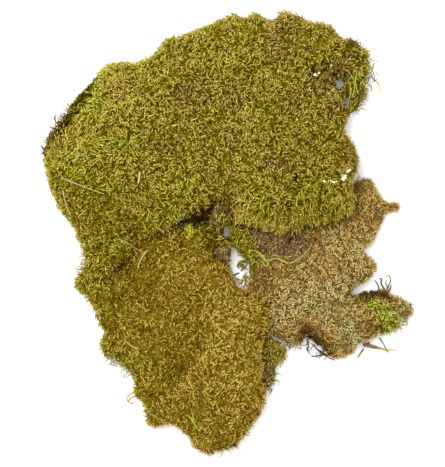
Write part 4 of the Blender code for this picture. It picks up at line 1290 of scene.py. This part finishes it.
# %% Wisps
BROWN = moss_finish("old_stems", [
    (0.0, (78, 58, 46)),
    (0.3, (120, 92, 66)),
    (0.5, (156, 124, 70)),
    (0.7, (168, 146, 60)),
    (0.86, (178, 172, 80)),
    (1.0, (206, 132, 48)),
])
FRINGES = [
    ("left_wisps", [(-107, 45), (-106.5, 52), (-103.5, 57.5), (-100.5, 63), (-97.5, 68)],
     2.4, 70, 150, 60, 0.5, 0.5, BROWN, curly_stems),
    ("left_tufts", [(-108, 45), (-108, 51), (-104.5, 58), (-100.5, 64), (-96, 70)],
     2.6, 190, 150, 70, 0.3, 0.46, GREEN, leafy_shoots),
    ("worn_shoots", [(79, 110), (82, 105), (82.6, 96), (80.6, 86), (78, 80)],
     3.4, 260, -40, 110, 0.5, 0.72, GREEN, leafy_shoots),
    ("dark_lump", [(69, 111), (73, 112.6), (76, 111)], 3.0, 150, 60, 180, 0.02, 0.36, GREEN, plain_shoots),
    ("worn_old_stems", [(61, 98), (66, 95), (72, 94), (76, 88)],
     3.6, 70, 0, 180, 0.35, 0.62, BROWN, curly_stems),
    ("worn_dead", [(70, 106), (78, 106), (82, 98), (80, 86), (72, 84)],
     8.0, 200, 0, 180, 0.02, 0.6, GREEN, plain_shoots),
    ("worn_litter", [(60, 99), (66, 96.4), (72, 95)], 3.0, 200, 0, 180, 0.04, 0.36, GREEN, leafy_shoots),
    ("worn_tips", [(82.6, 90), (81, 84), (79, 78), (76.4, 73)],
     2.0, 80, -40, 100, 0.22, 0.66, GREEN, leafy_shoots),
    ("rootlets_east", [(47, -64), (52, -69), (58, -72), (66, -75)], 1.5, 26, -110, 50, 0.25, 0.5),
    ("rootlets_south", [(30, -62.5), (36, -65), (42, -66)], 1.5, 34, -100, 50, 0.45, 0.55),
    ("left_strands", [(-85, -14), (-88, -24), (-87, -32), (-83, -40)], 1.2, 26, 190, 50, 0.75, 0.6),
    ("low_left_strands", [(-73, -74), (-66, -78), (-58, -86)], 1.2, 18, 215, 50, 0.7, 0.6),
    ("branch_stems", [(88, 13), (94, 15), (101, 16)], 1.0, 34, 20, 70, 0.5, 0.7, BROWN, curly_stems),
    ("east_fringe", [(84, 0), (88, 8), (84, 20), (78, 30)], 1.6, 60, 0, 60, 0.88, 0.72, BROWN, curly_stems),
    ("finger_fringe", [(108, -46), (106, -52), (98, -56)], 1.5, 40, -30, 60, 0.35, 0.6),
    ("tail_stems", [(-12, -131), (-2, -130), (6, -126)], 1.0, 20, -90, 50, 0.65, 0.6),
    ("scrap_roots", [(22, -94), (25, -92), (28, -86)], 1.0, 24, -60, 60, 0.25, 0.5),
    ("lobe_fringe", [(-62, -24), (-54, -16), (-46, -8), (-36, -1)], 3.0, 70, -60, 50, 0.55, 0.5),
    ("tear_litter", [(-23, 6.4), (-14, 3), (-8, 0), (-2, -4)], 3.0, 110, 0, 180, 0.25, 0.35),
    ("hole_tufts", [(-0.6, -15), (1, -20), (3.6, -25), (7, -30)],
     0.8, 34, 0, 50, 0.6, 0.6, GREEN, leafy_shoots),
    ("hole_east_tufts", [(10, -14), (13, -19), (13.4, -25), (12, -31)],
     0.8, 26, 180, 50, 0.4, 0.5, GREEN, leafy_shoots),
    ("gap_tufts", [(-27, 7), (-24, 6.6), (-21, 6)], 1.6, 70, -80, 50, 0.5, 0.4, GREEN, leafy_shoots),
    ("tear_strands", [(-21, 9), (-17, 8), (-13, 9), (-9, 12)],
     3.4, 60, -70, 60, 0.7, 0.7, GREEN, long_shoots),
]
FIRST_SEED = 60
FRINGE_HEIGHTS = 1.5, 5.0
FRINGE_SIZES = 0.4, 0.85
FRINGE_DEPTHS = 0.5, 1.5
UNEVEN = 0.25
VARIED_BY = 0.15


def one_look(dice, count, hue, light, by, faintest, most=0.97):
    """Hues and lights that vary by so much round one of each."""
    return kept(dice.normal(hue, by, count), most=most), kept(dice.normal(light, by, count), faintest)


def fringe(seed, name, route, wide, count, way, spread, hue, light, finish=BROWN, kinds=wisps):
    """A row of wisps along a route."""
    dice = np.random.default_rng(seed)
    along = dice.uniform(0, len(route) - 1, count)
    base = np.minimum(along.astype(int), len(route) - 2)
    route = np.array(route, float)
    flat = route[base] + (route[base + 1] - route[base]) * (along - base)[:, None]
    flat += dice.normal(0, wide / 2, (count, 2))
    place = np.column_stack([flat, dice.uniform(*FRINGE_HEIGHTS, count)])
    normal = np.column_stack([dice.normal(0, UNEVEN, (count, 2)), np.ones(count)])
    normal /= np.linalg.norm(normal, axis=1)[:, None]
    heading = np.radians(dice.normal(way, spread, count))
    size, sink = dice.uniform(*FRINGE_SIZES, count), dice.uniform(*FRINGE_DEPTHS, count)
    look = one_look(dice, count, hue, light, VARIED_BY, FAINTEST)
    slot = "peat" if finish == BROWN else "green_moss"
    plant(name, finish, slot, kinds, place, normal, heading, size, sink, *look, dice)


for seed, row in enumerate(FRINGES, FIRST_SEED):
    fringe(seed, *row)

# %% [markdown]
# ## Crumbs
#
# Peat breaks into rough crumbs. A crumb is a small ball knocked out of shape, and three of them are strewn,
# turned and sized, over the bare peat, between the shoots and at the torn edges.

# %% Crumbs
CRUMB_RADIUS = 0.5
CRUMB_ROUGHNESS = 0.16


def crumb_shape(seed):
    """One crumb about a millimetre across."""
    bpy.ops.object.select_all(action="DESELECT")
    bpy.ops.mesh.primitive_ico_sphere_add(subdivisions=1, radius=CRUMB_RADIUS * MM)
    thing = bpy.context.object
    bpy.ops.object.mode_set(mode="EDIT")
    bpy.ops.transform.vertex_random(offset=CRUMB_ROUGHNESS * MM, seed=seed)
    bpy.ops.object.mode_set(mode="OBJECT")
    corners = [index for face in thing.data.polygons for index in face.vertices]
    faces = len(thing.data.polygons)
    shape = {
        "places": mesh_places(thing) / MM,
        "corners": np.array(corners),
        "starts": np.arange(faces) * 3,
        "along": np.tile([0.9, 0.9, 1.0], faces),
        "aside": np.tile([-1.0, 1.0, 0.0], faces),
        "beat": np.zeros(3 * faces),
    }
    bpy.data.objects.remove(thing)
    return shape


crumbs = [crumb_shape(seed) for seed in (1, 2, 3)]
CRUMB = moss_finish("peat_crumbs", [
    (0.0, (66, 50, 36)),
    (0.35, (98, 76, 54)),
    (0.65, (138, 112, 84)),
    (0.9, (176, 150, 120)),
    (0.95, (252, 250, 246)),
])
WORN_PLACE = [(64, 94), (72, 90)]
DARK_STRIP = [(75, -37), (95, -36)]


def strew(name, surface, count, thick, sizes, hue, light, seed, depth=(-0.1, 0.3)):
    """Crumbs all over a surface, or where `thick` lets them lie."""
    dice = np.random.default_rng(seed)
    place, normal = sow(surface, count, dice, thick)
    look = one_look(dice, count, hue, light, VARIED_BY, FAINTEST, 0.88)
    heading, size = dice.uniform(0, FULL_TURN, count), dice.uniform(*sizes, count)
    sink = dice.uniform(*depth, count)
    plant(name, CRUMB, "peat", crumbs, place, normal, heading, size, sink, *look, dice)


clod_upper, clod_lower = skin("peat_clod_upper"), skin("peat_clod_lower")
for row in (
    ("clod_crumbs", clod_upper, 300, None, (0.6, 2.0), 0.3, 0.58, 81),
    ("small_clod_crumbs", clod_lower, 170, None, (0.5, 1.5), 0.35, 0.58, 82),
    (
        "patch_crumbs", right, 330, lambda place: near(place, PEAT_PATCH, 6.5), (0.5, 1.7), 0.35, 0.55, 83,
        (0.6, 1.5),
    ),
    ("scrap_crumbs", scrap, 200, lambda place: place[:, 1] < -75, (0.5, 1.4), 0.45, 0.6, 84, (0.0, 0.8)),
    ("worn_crumbs", upper, 150, lambda place: near(place, WORN_PLACE, 6.0), (0.6, 1.8), 0.5, 0.5, 85),
    ("strip_crumbs", right, 120, lambda place: near(place, DARK_STRIP, 3.0), (0.5, 1.3), 0.2, 0.45, 86),
    ("mat_crumbs", upper, 140, None, (0.4, 1.0), 0.5, 0.5, 87, (0.2, 1.4)),
):
    strew(*row)

# %% Loose peat at the back of the tear
dice = np.random.default_rng(88)
count = 170
across, up = dice.normal(-16.5, 2.6, count), dice.normal(4.6, 1.6, count)
place = np.column_stack([across, up, dice.uniform(0.3, 3.4, count)])
plant(
    "tear_crumbs", CRUMB, "peat", crumbs, place, np.tile([0.0, 0.0, 1.0], (count, 1)),
    dice.uniform(0, FULL_TURN, count), dice.uniform(1.0, 2.6, count), np.zeros(count),
    kept(dice.normal(0.15, 0.1, count)), kept(dice.normal(0.36, 0.12, count), 0.1), dice,
)

# %% [markdown]
# ## Shoots over the clods
#
# Dead and living shoots lie over the clods in the tear, most of them in tufts and, on the upper clod, along
# its back under the lip.

# %% Shoots on the clods
CLOD_TUFTS = [(1, 15), (2, 9), (-2, 5.5)], 4.0
CLOD_BACK = [(-13, 13), (-9, 19), (0, 20)], 3.0


def clod_shoots(name, surface, count, thick, hue, light, seed, finish=BROWN):
    """Shoots that lie every way over a clod."""
    dice = np.random.default_rng(seed)
    place, normal = sow(surface, count, dice, thick)
    look = one_look(dice, count, hue, light, 0.2, 0.1)
    heading = dice.uniform(0, FULL_TURN, count)
    size, sink = dice.uniform(0.6, 1.1, count), dice.uniform(-0.9, 0.6, count)
    plant(name, finish, "peat", leafy_shoots, place, normal, heading, size, sink, *look, dice)


def clod_edges(place):
    """Thick on the tufts and along the back, thin on the rest."""
    return 0.15 + near(place, *CLOD_TUFTS) + near(place, *CLOD_BACK)


def clod_tufts(place):
    """Thick on the tufts, thin on the rest."""
    return 0.1 + near(place, *CLOD_TUFTS)


clod_shoots("clod_shoots", clod_upper, 260, clod_edges, 0.65, 0.6, 91)
clod_shoots("clod_green_shoots", clod_upper, 170, clod_tufts, 0.55, 0.70, 94, GREEN)
clod_shoots("small_clod_shoots", clod_lower, 40, None, 0.4, 0.5, 92)

# %% [markdown]
# ## Strands that stand out
#
# A few strands catch the eye one by one: strays beyond the frayed end, pale stalks on the golden mat,
# curly stems at the edges. Each is one straight stalk laid along its own line of points, and resting on
# whatever lies below it.

# %% Laying a strand
STALK = [0.26, 0.30, 0.27, 0.31, 0.27, 0.30, 0.26, 0.29, 0.25, 0.27, 0.22, 0.16]
HIGH = 100
LINE_PARTS = 13
LEVELLED = 5
AHEAD = 0.02
STALK_ROOT_LIGHT = 0.75
LAST_PART = 0.9999

stalk = grow("stalk", 10.0, STALK, 0, 0, 0)
surfaces = upper, lower, right, scrap, clod_upper, clod_lower
ground_corners = np.concatenate([surface["corner"].reshape(-1, 3) for surface in surfaces])
ground = BVHTree.FromPolygons(
    [Vector(corner) for corner in ground_corners],
    [(first, first + 1, first + 2) for first in range(0, len(ground_corners), 3)],
)
print("strands rest on", len(ground_corners) // 3, "triangles")


def resting(x, y):
    """The height of whatever lies at this place."""
    hit = ground.ray_cast(Vector((x, y, HIGH)), Vector((0, 0, -1)))[0]
    return hit.z if hit else 0.0


def smooth_line(marks, parts):
    """A smooth line through all the marks."""
    marks = np.array(marks, float)
    padded = np.vstack([2 * marks[0] - marks[1], marks, 2 * marks[-1] - marks[-2]])
    spots = parts * (len(marks) - 1) * LAST_PART
    base = spots.astype(int)
    part = (spots - base)[:, None]
    one, two, three, four = (padded[base + step] for step in range(4))
    bend = (2 * one - 5 * two + 4 * three - four) * part**2 + (-one + 3 * two - 3 * three + four) * part**3
    return 0.5 * (2 * two + (three - one) * part + bend)


def resting_line(marks, along):
    """The levelled height of the ground all along a strand."""
    parts = np.linspace(0, 1, LINE_PARTS)
    heights = np.array([resting(x, y) for x, y in smooth_line(marks, parts)])
    padded = np.pad(heights, LEVELLED // 2, mode="edge")
    return np.interp(along, parts, np.convolve(padded, np.ones(LEVELLED) / LEVELLED, "valid"))


def lay(name, finish, slot, strands):
    """One mesh of strands: each has a width, lift, hue, light and its marks."""
    points, corners, starts, spots = [], [], [], []
    many, corner_total = len(stalk["places"]), len(stalk["corners"])
    along = stalk["places"][:, 2] / stalk["places"][:, 2].max()
    for number, (wide, lift, hue, light, marks) in enumerate(strands):
        flat = smooth_line(marks, along)
        ahead = smooth_line(marks, np.minimum(along + AHEAD, 1))
        ahead -= smooth_line(marks, np.maximum(along - AHEAD, 0))
        ahead /= np.linalg.norm(ahead, axis=1)[:, None]
        height = resting_line(marks, along) + lift
        aside = np.column_stack([-ahead[:, 1], ahead[:, 0]])
        place = np.column_stack([flat + aside * stalk["places"][:, :1] * wide, height])
        place[:, 2] += stalk["places"][:, 1] * wide
        points.append(place)
        corners.append(stalk["corners"] + number * many)
        starts.append(stalk["starts"] + number * corner_total)
        u = hue + HUE_WIDTH * stalk["aside"]
        v = light * (STALK_ROOT_LIGHT + (1 - STALK_ROOT_LIGHT) * stalk["along"])
        spots.append(np.column_stack([u, v]))
    joined_mesh(name, finish, slot, points, corners, starts, spots)


# %% Green and straw-coloured strands
lay("stray_strands", GREEN, "green_moss", [
    (1.0, 0.3, 0.7, 0.8, [(84.5, 109.8), (86.4, 110.6), (88.5, 111.6), (91, 111.8)]),
    (1.1, 0.6, 0.6, 0.7, [(84, 96), (88.4, 92.9), (91, 90.8), (92.2, 88.2), (91.8, 85.8), (94.6, 82.6)]),
    (1.5, 0.6, 0.8, 0.7, [(75.5, 91), (75.8, 86), (74.2, 80.5)]),
    (1.4, 0.5, 0.9, 0.75, [(73, 89), (73.6, 84), (72.4, 79.5)]),
    (1.4, 0.6, 0.85, 0.7, [(77.4, 96), (76.4, 91), (77.4, 85)]),
    (1.3, 0.6, 0.7, 0.7, [(70, 98), (73.5, 95), (76.2, 90)]),
    (1.3, 0.4, 0.9, 0.6, [(78, 110.5), (82, 111.6), (86, 109.5)]),
    (1.2, 0.4, 0.9, 0.6, [(74.5, 110), (79, 108.4), (83.6, 106.4)]),
    (1.2, 0.5, 0.3, 0.5, [(50.5, 87.6), (54.5, 91), (58.5, 94), (62.6, 98)]),
    (1.3, 0.6, 0.85, 0.8, [(-7, 7.6), (-4, 6.2), (-1, 6), (2, 4.4), (1.6, 2.6)]),
    (1.5, 0.8, 0.9, 0.85, [(8.8, 2.2), (8.2, -0.4), (6.4, -4.2)]),
    (1.2, 0.6, 0.16, 0.8, [(-34, 5.6), (-35.6, 2.6), (-34.4, -1), (-35.4, -4)]),
    (1.5, 0.6, 0.24, 0.85, [(-65, -3.4), (-60, -5.6), (-56, -8.4), (-51.6, -11.2)]),
    (1.5, 0.4, 0.24, 0.9, [(-61, -64.4), (-57, -67.4), (-52.6, -69.2)]),
    (1.1, 0.4, 0.2, 0.85, [(-60, -75.6), (-57.6, -72.6), (-53, -70)]),
    (1.2, 0.4, 0.2, 0.9, [(-1.4, -90.4), (-4, -93.6), (-7.6, -97.4)]),
    (1.2, 0.4, 0.24, 0.8, [(-31, -44.6), (-28, -41.6), (-25, -40)]),
    (1.8, 0.3, 0.95, 0.7, [(-24, -108.4), (-21.6, -111), (-19.6, -114), (-17, -118.6)]),
    (1.4, 0.3, 0.95, 0.66, [(-21, -106.8), (-20.4, -110.6), (-18.2, -113.4)]),
    (1.1, 0.3, 0.5, 0.5, [(5.4, -27.2), (9, -28.6), (12.6, -26.4)]),
    (1.1, 0.3, 0.6, 0.55, [(7.4, -31), (10, -28.4), (12, -23.4)]),
    (1.1, 0.3, 0.4, 0.5, [(9.6, -25.4), (10.6, -29), (9.8, -34)]),
    (1.1, 0.3, 0.3, 0.6, [(9, -32.6), (11.6, -31.4), (14.4, -32)]),
    (2.4, 0.4, 0.8, 0.42, [(6.2, -20.8), (6.8, -18.2), (9.2, -16.8), (11.6, -17.6)]),
    (1.6, 0.9, 0.7, 0.55, [(6.8, -18.8), (8.6, -17.3), (11, -17.2), (12.4, -18.8)]),
    (1.3, 0.4, 0.06, 0.66, [(7.8, -22.8), (9.6, -21.8), (11.4, -19.8), (12, -18.4)]),
    (1.1, 0.3, 0.5, 0.5, [(8.6, -31), (9, -27.6), (10.6, -25.2)]),
    (1.1, 0.3, 0.6, 0.45, [(11.6, -32.6), (11, -28.4), (12.6, -25.4)]),
    (1.2, 0.3, 0.45, 0.45, [(12.2, -29.6), (10.4, -26.6), (10.8, -23.6)]),
    (1.2, 0.3, 0.35, 0.45, [(13.4, -28.4), (11.8, -26.4), (9.4, -27)]),
    (
        1.5, 0.8, 0.75, 0.85,
        [(16, -14), (19.4, -13.6), (22.4, -15.6), (24.6, -18.6), (22.8, -20), (21, -17.6)],
    ),
    (1.3, 0.8, 0.7, 0.8, [(12, -9.4), (15, -12.6), (19.6, -12.4), (22.4, -15), (21.6, -17)]),
    (1.3, 0.8, 0.75, 0.8, [(26, -14), (29, -13.2), (31.6, -15.6), (35, -17)]),
    (1.2, 0.8, 0.6, 0.7, [(33, -16.6), (38, -18), (43, -15.6), (48, -10.4), (51, -6)]),
    (1.2, 0.5, 0.85, 0.8, [(-71, 99.4), (-68.6, 101.6), (-65.4, 102.2)]),
    (1.3, 0.4, 0.3, 0.7, [(-53, -96), (-57, -96.6), (-61, -99.6), (-59, -103), (-54.4, -102)]),
    (1.1, 0.4, 0.2, 0.6, [(-54, -98), (-58, -99.6), (-60, -102), (-57, -103.6)]),
    (1.0, 0.3, 0.7, 0.75, [(-70, -76), (-73, -77), (-76.4, -79.6)]),
    (1.1, 0.3, 0.8, 0.7, [(-86, -20), (-90, -22), (-93.4, -20.6)]),
    (1.1, 0.3, 0.7, 0.7, [(-86, -30), (-90.4, -31.4), (-94, -34)]),
])

# %% White specks
SPECKS = [
    (69, 33, 2.2), (68.2, 32.2, 1.7), (69.8, 34, 1.9), (69, 31.4, 1.5), (70.4, 32.6, 1.3),
    (68.6, 34.6, 1.2), (71.8, 37, 1.9), (72.8, 37.6, 1.5), (71, 36.4, 1.3), (57, 30.6, 1.7),
    (57.8, 30.2, 1.1), (62, 30.4, 1.2), (63.2, 30, 1.4), (64.6, 30.6, 1.1), (61, 31, 1.0), (51.8, 94, 1.4),
    (52.6, 93.2, 1.2), (51.2, 93.4, 1.0), (54, 94.6, 1.1), (54.6, 95.2, 0.9), (49, 84.4, 0.9),
    (66.6, 88.8, 1.2), (70.6, 92.6, 1.2),
]
SPECK_LIFT = 0.1
BRIGHTEST = 0.97
place = np.array([(x, y, resting(x, y) + SPECK_LIFT) for x, y, _ in SPECKS])
still = np.zeros(len(SPECKS))
plant(
    "white_specks", CRUMB, "pale_straw", crumbs, place, np.tile([0.0, 0.0, 1.0], (len(SPECKS), 1)), still,
    np.array(SPECKS)[:, 2], still, still + BRIGHTEST, still + BRIGHTEST, np.random.default_rng(93),
)

# %% Old brown strands
lay("old_strands", BROWN, "peat", [
    (1.7, 0.4, 0.06, 0.42, [(3.8, -25.5), (7.3, -24)]),
    (1.5, 0.5, 0.15, 0.5, [(91.6, -37), (91.4, -33), (90.4, -30.4), (88.8, -28.4)]),
    (1.7, 1.0, 0.12, 0.5, [(94.6, -38), (94.4, -33.6), (92.8, -30.4), (93.2, -27.8), (91.4, -27.4)]),
    (1.5, 1.6, 0.3, 0.6, [(96.4, -37.6), (97, -32.6), (98.6, -28.6), (97.4, -25.6), (95, -27)]),
    (1.4, 2.0, 0.45, 0.6, [(93, -36), (96.4, -33), (95.2, -29.8), (97, -28)]),
    (1.3, 0.8, 0.2, 0.5, [(95.6, -36.4), (98.4, -34), (99, -31)]),
    (1.4, 0.6, 0.6, 0.65, [(92, 14.4), (95.4, 15.4), (98, 17.4), (100.6, 18.6)]),
    (1.5, 0.6, 0.5, 0.65, [(93, 14), (97, 15), (100.4, 13.6), (102.6, 14.2), (104, 16.4)]),
    (1.3, 0.6, 0.7, 0.7, [(99, 15.4), (101.4, 13), (103.4, 12.2)]),
    (1.4, 0.3, 0.12, 0.5, [(48, -64), (49, -68), (48.4, -71), (50.4, -74)]),
    (1.6, 0.3, 0.15, 0.5, [(50.6, -74.6), (55, -74.4), (60, -73.6), (65, -75.6)]),
    (1.4, 0.3, 0.2, 0.5, [(52, -67.4), (55.4, -71.6), (60.6, -75), (65.4, -77.4)]),
    (1.3, 0.3, 0.3, 0.55, [(56, -71), (60, -73.8), (63.6, -73.2)]),
    (1.5, 0.2, 0.08, 0.35, [(38.6, 0.4), (38.2, -3), (36.6, -8.4)]),
    (1.1, 0.5, 0.35, 0.6, [(22, 0), (25, -3.4), (24.4, -7)]),
    (1.1, 0.5, 0.5, 0.6, [(28, 1), (29.4, -3), (33, -5.4)]),
    (1.1, 0.5, 0.3, 0.6, [(41, 0), (42.4, -4), (40.6, -8)]),
    (1.1, 0.5, 0.4, 0.6, [(18, -6), (22.6, -7.4), (27, -5.6)]),
    (1.2, 0.6, 0.98, 0.8, [(56, -21), (58.6, -23.4), (60, -26)]),
    (1.2, 0.6, 0.98, 0.7, [(58.4, -20.4), (61, -22), (60.6, -24.6)]),
    (1.2, 0.6, 0.98, 0.8, [(-2, -14.6), (-0.4, -16.4), (1, -16.6)]),
    (1.5, 0.3, 0.2, 0.5, [(-106, 49), (-109, 52), (-111, 50), (-110.4, 46)]),
    (1.6, 0.5, 0.5, 0.5, [(-98.6, 61), (-101, 64.6), (-103.4, 66.6), (-104.6, 69.6), (-103.6, 72)]),
    (1.5, 0.4, 0.3, 0.42, [(-99, 64), (-100.4, 67), (-102.6, 67.4), (-103, 65.6)]),
    (1.7, 0.8, 0.55, 0.5, [(-102, 57), (-105, 59.4), (-108, 58.4), (-109, 55), (-108, 53)]),
    (1.6, 0.4, 0.4, 0.46, [(-105, 52), (-108, 54), (-110, 51.6), (-109, 48.6), (-111, 46.6)]),
    (1.5, 0.6, 0.6, 0.5, [(-103, 60), (-106, 61), (-108.6, 59.4)]),
    (1.4, 0.4, 0.3, 0.42, [(-104, 48), (-107.4, 50.6), (-109.4, 48), (-110.6, 44.6)]),
    (1.4, 0.6, 0.6, 0.55, [(-100, 57.6), (-104.6, 55), (-107.6, 56.4)]),
    (1.3, 0.4, 0.7, 0.6, [(-93, 74), (-95, 76.4), (-97, 77.6), (-96.6, 79)]),
    (1.3, 0.4, 0.5, 0.5, [(-94, 73), (-96.6, 74.4), (-98, 76.6)]),
    (1.2, 0.4, 0.4, 0.6, [(-107, 44), (-110, 42), (-109.4, 38.4)]),
])

# %% [markdown]
# ## Twigs and straws
#
# Dead twigs have grey-brown bark with a grain along them, and straws are smooth and pale with fine
# streaks. Each is a finer copy of its solid.

# %% Bark and straw
BROAD_GRAIN = 2.2
FINE_GRAIN = 0.35
PEELED_DARK = (166, 146, 84)
PEELED_LIGHT = (226, 212, 150)


def stem_finish(name, dark, light, roughness, gloss, peeled=None):
    """Bark; `peeled` names the X from which it has turned to pale straw."""
    finish = Finish(name, roughness, gloss)
    broad = finish.speckle(BROAD_GRAIN)
    fine = finish.speckle(FINE_GRAIN, 4.0, 0.7)
    amount = broad * 0.6 + fine * 0.7 - 0.15
    colour = finish.ramp(amount, [(0.25, paint(*dark)), (0.75, paint(*light))])
    if peeled:
        across = finish.part(finish.where(), "X") * (1 / MM)
        share = finish.spread(across + broad * 4.0 - 2.0, peeled - 4.0, peeled + 2.0)
        straw = finish.ramp(amount, [(0.25, paint(*PEELED_DARK)), (0.75, paint(*PEELED_LIGHT))])
        colour = finish.blend(share, colour, straw)
    return finish.show(Base_Color=colour, Normal=finish.bump(fine, 0.12))


BARK = stem_finish("bark", (70, 52, 38), (136, 108, 80), 0.85, 0.2)
PEELED_BARK = stem_finish("peeled_bark", (74, 54, 38), (150, 118, 84), 0.85, 0.2, 92.0)
CHIP = stem_finish("chip_bark", (142, 100, 44), (196, 152, 80), 0.8, 0.2)
STRAW = stem_finish("straw", (142, 116, 66), (206, 184, 130), 0.55, 0.4)
WHITE_STRAW = stem_finish("white_straw", (206, 192, 160), (250, 244, 226), 0.5, 0.4)
RUNNER = stem_finish("pale_stem", (142, 132, 30), (200, 190, 78), 0.6, 0.3)


BARK_LUMP = 0.8
ROUNDINGS = 2


def fine_stem(node, name, finish, slot, lump, slim):
    """A stem's solid made slimmer by so many millimetres a side, round and a little uneven."""
    thing = welded_copy(node, name)
    bpy.ops.object.mode_set(mode="EDIT")
    bpy.ops.mesh.select_all(action="SELECT")
    bpy.ops.transform.shrink_fatten(value=-slim * MM)
    bpy.ops.object.mode_set(mode="OBJECT")
    smooth = thing.modifiers.new("round", "SUBSURF")
    smooth.levels = smooth.render_levels = ROUNDINGS
    bpy.ops.object.modifier_apply(modifier="round")
    roughen(thing, BARK_LUMP, lump)
    stand_in(thing, node, finish)


STEMS = [
    ("forked_twig", PEELED_BARK, "bark", 0.7, 0.0),
    ("thin_twig", BARK, "bark", 0.2, 0.05),
    ("short_twig", BARK, "bark", 0.2, 0.05),
    ("brown_chip", CHIP, "bark", 0.4, 0.0),
    ("long_straw", STRAW, "straw", 0.1, 0.12),
    ("bent_straw", STRAW, "straw", 0.1, 0.15),
    ("white_straw", WHITE_STRAW, "pale_straw", 0.08, 0.14),
    ("middle_straw", STRAW, "straw", 0.1, 0.0),
    ("pale_runner", RUNNER, "runner", 0.15, 0.2),
]
for node, *rest in STEMS:
    fine_stem(node, node + "_stem", *rest)

# %% Size and finish
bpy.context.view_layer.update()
total = sum(len(thing.data.loops) - 2 * len(thing.data.polygons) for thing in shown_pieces())
print("triangles in all", total)
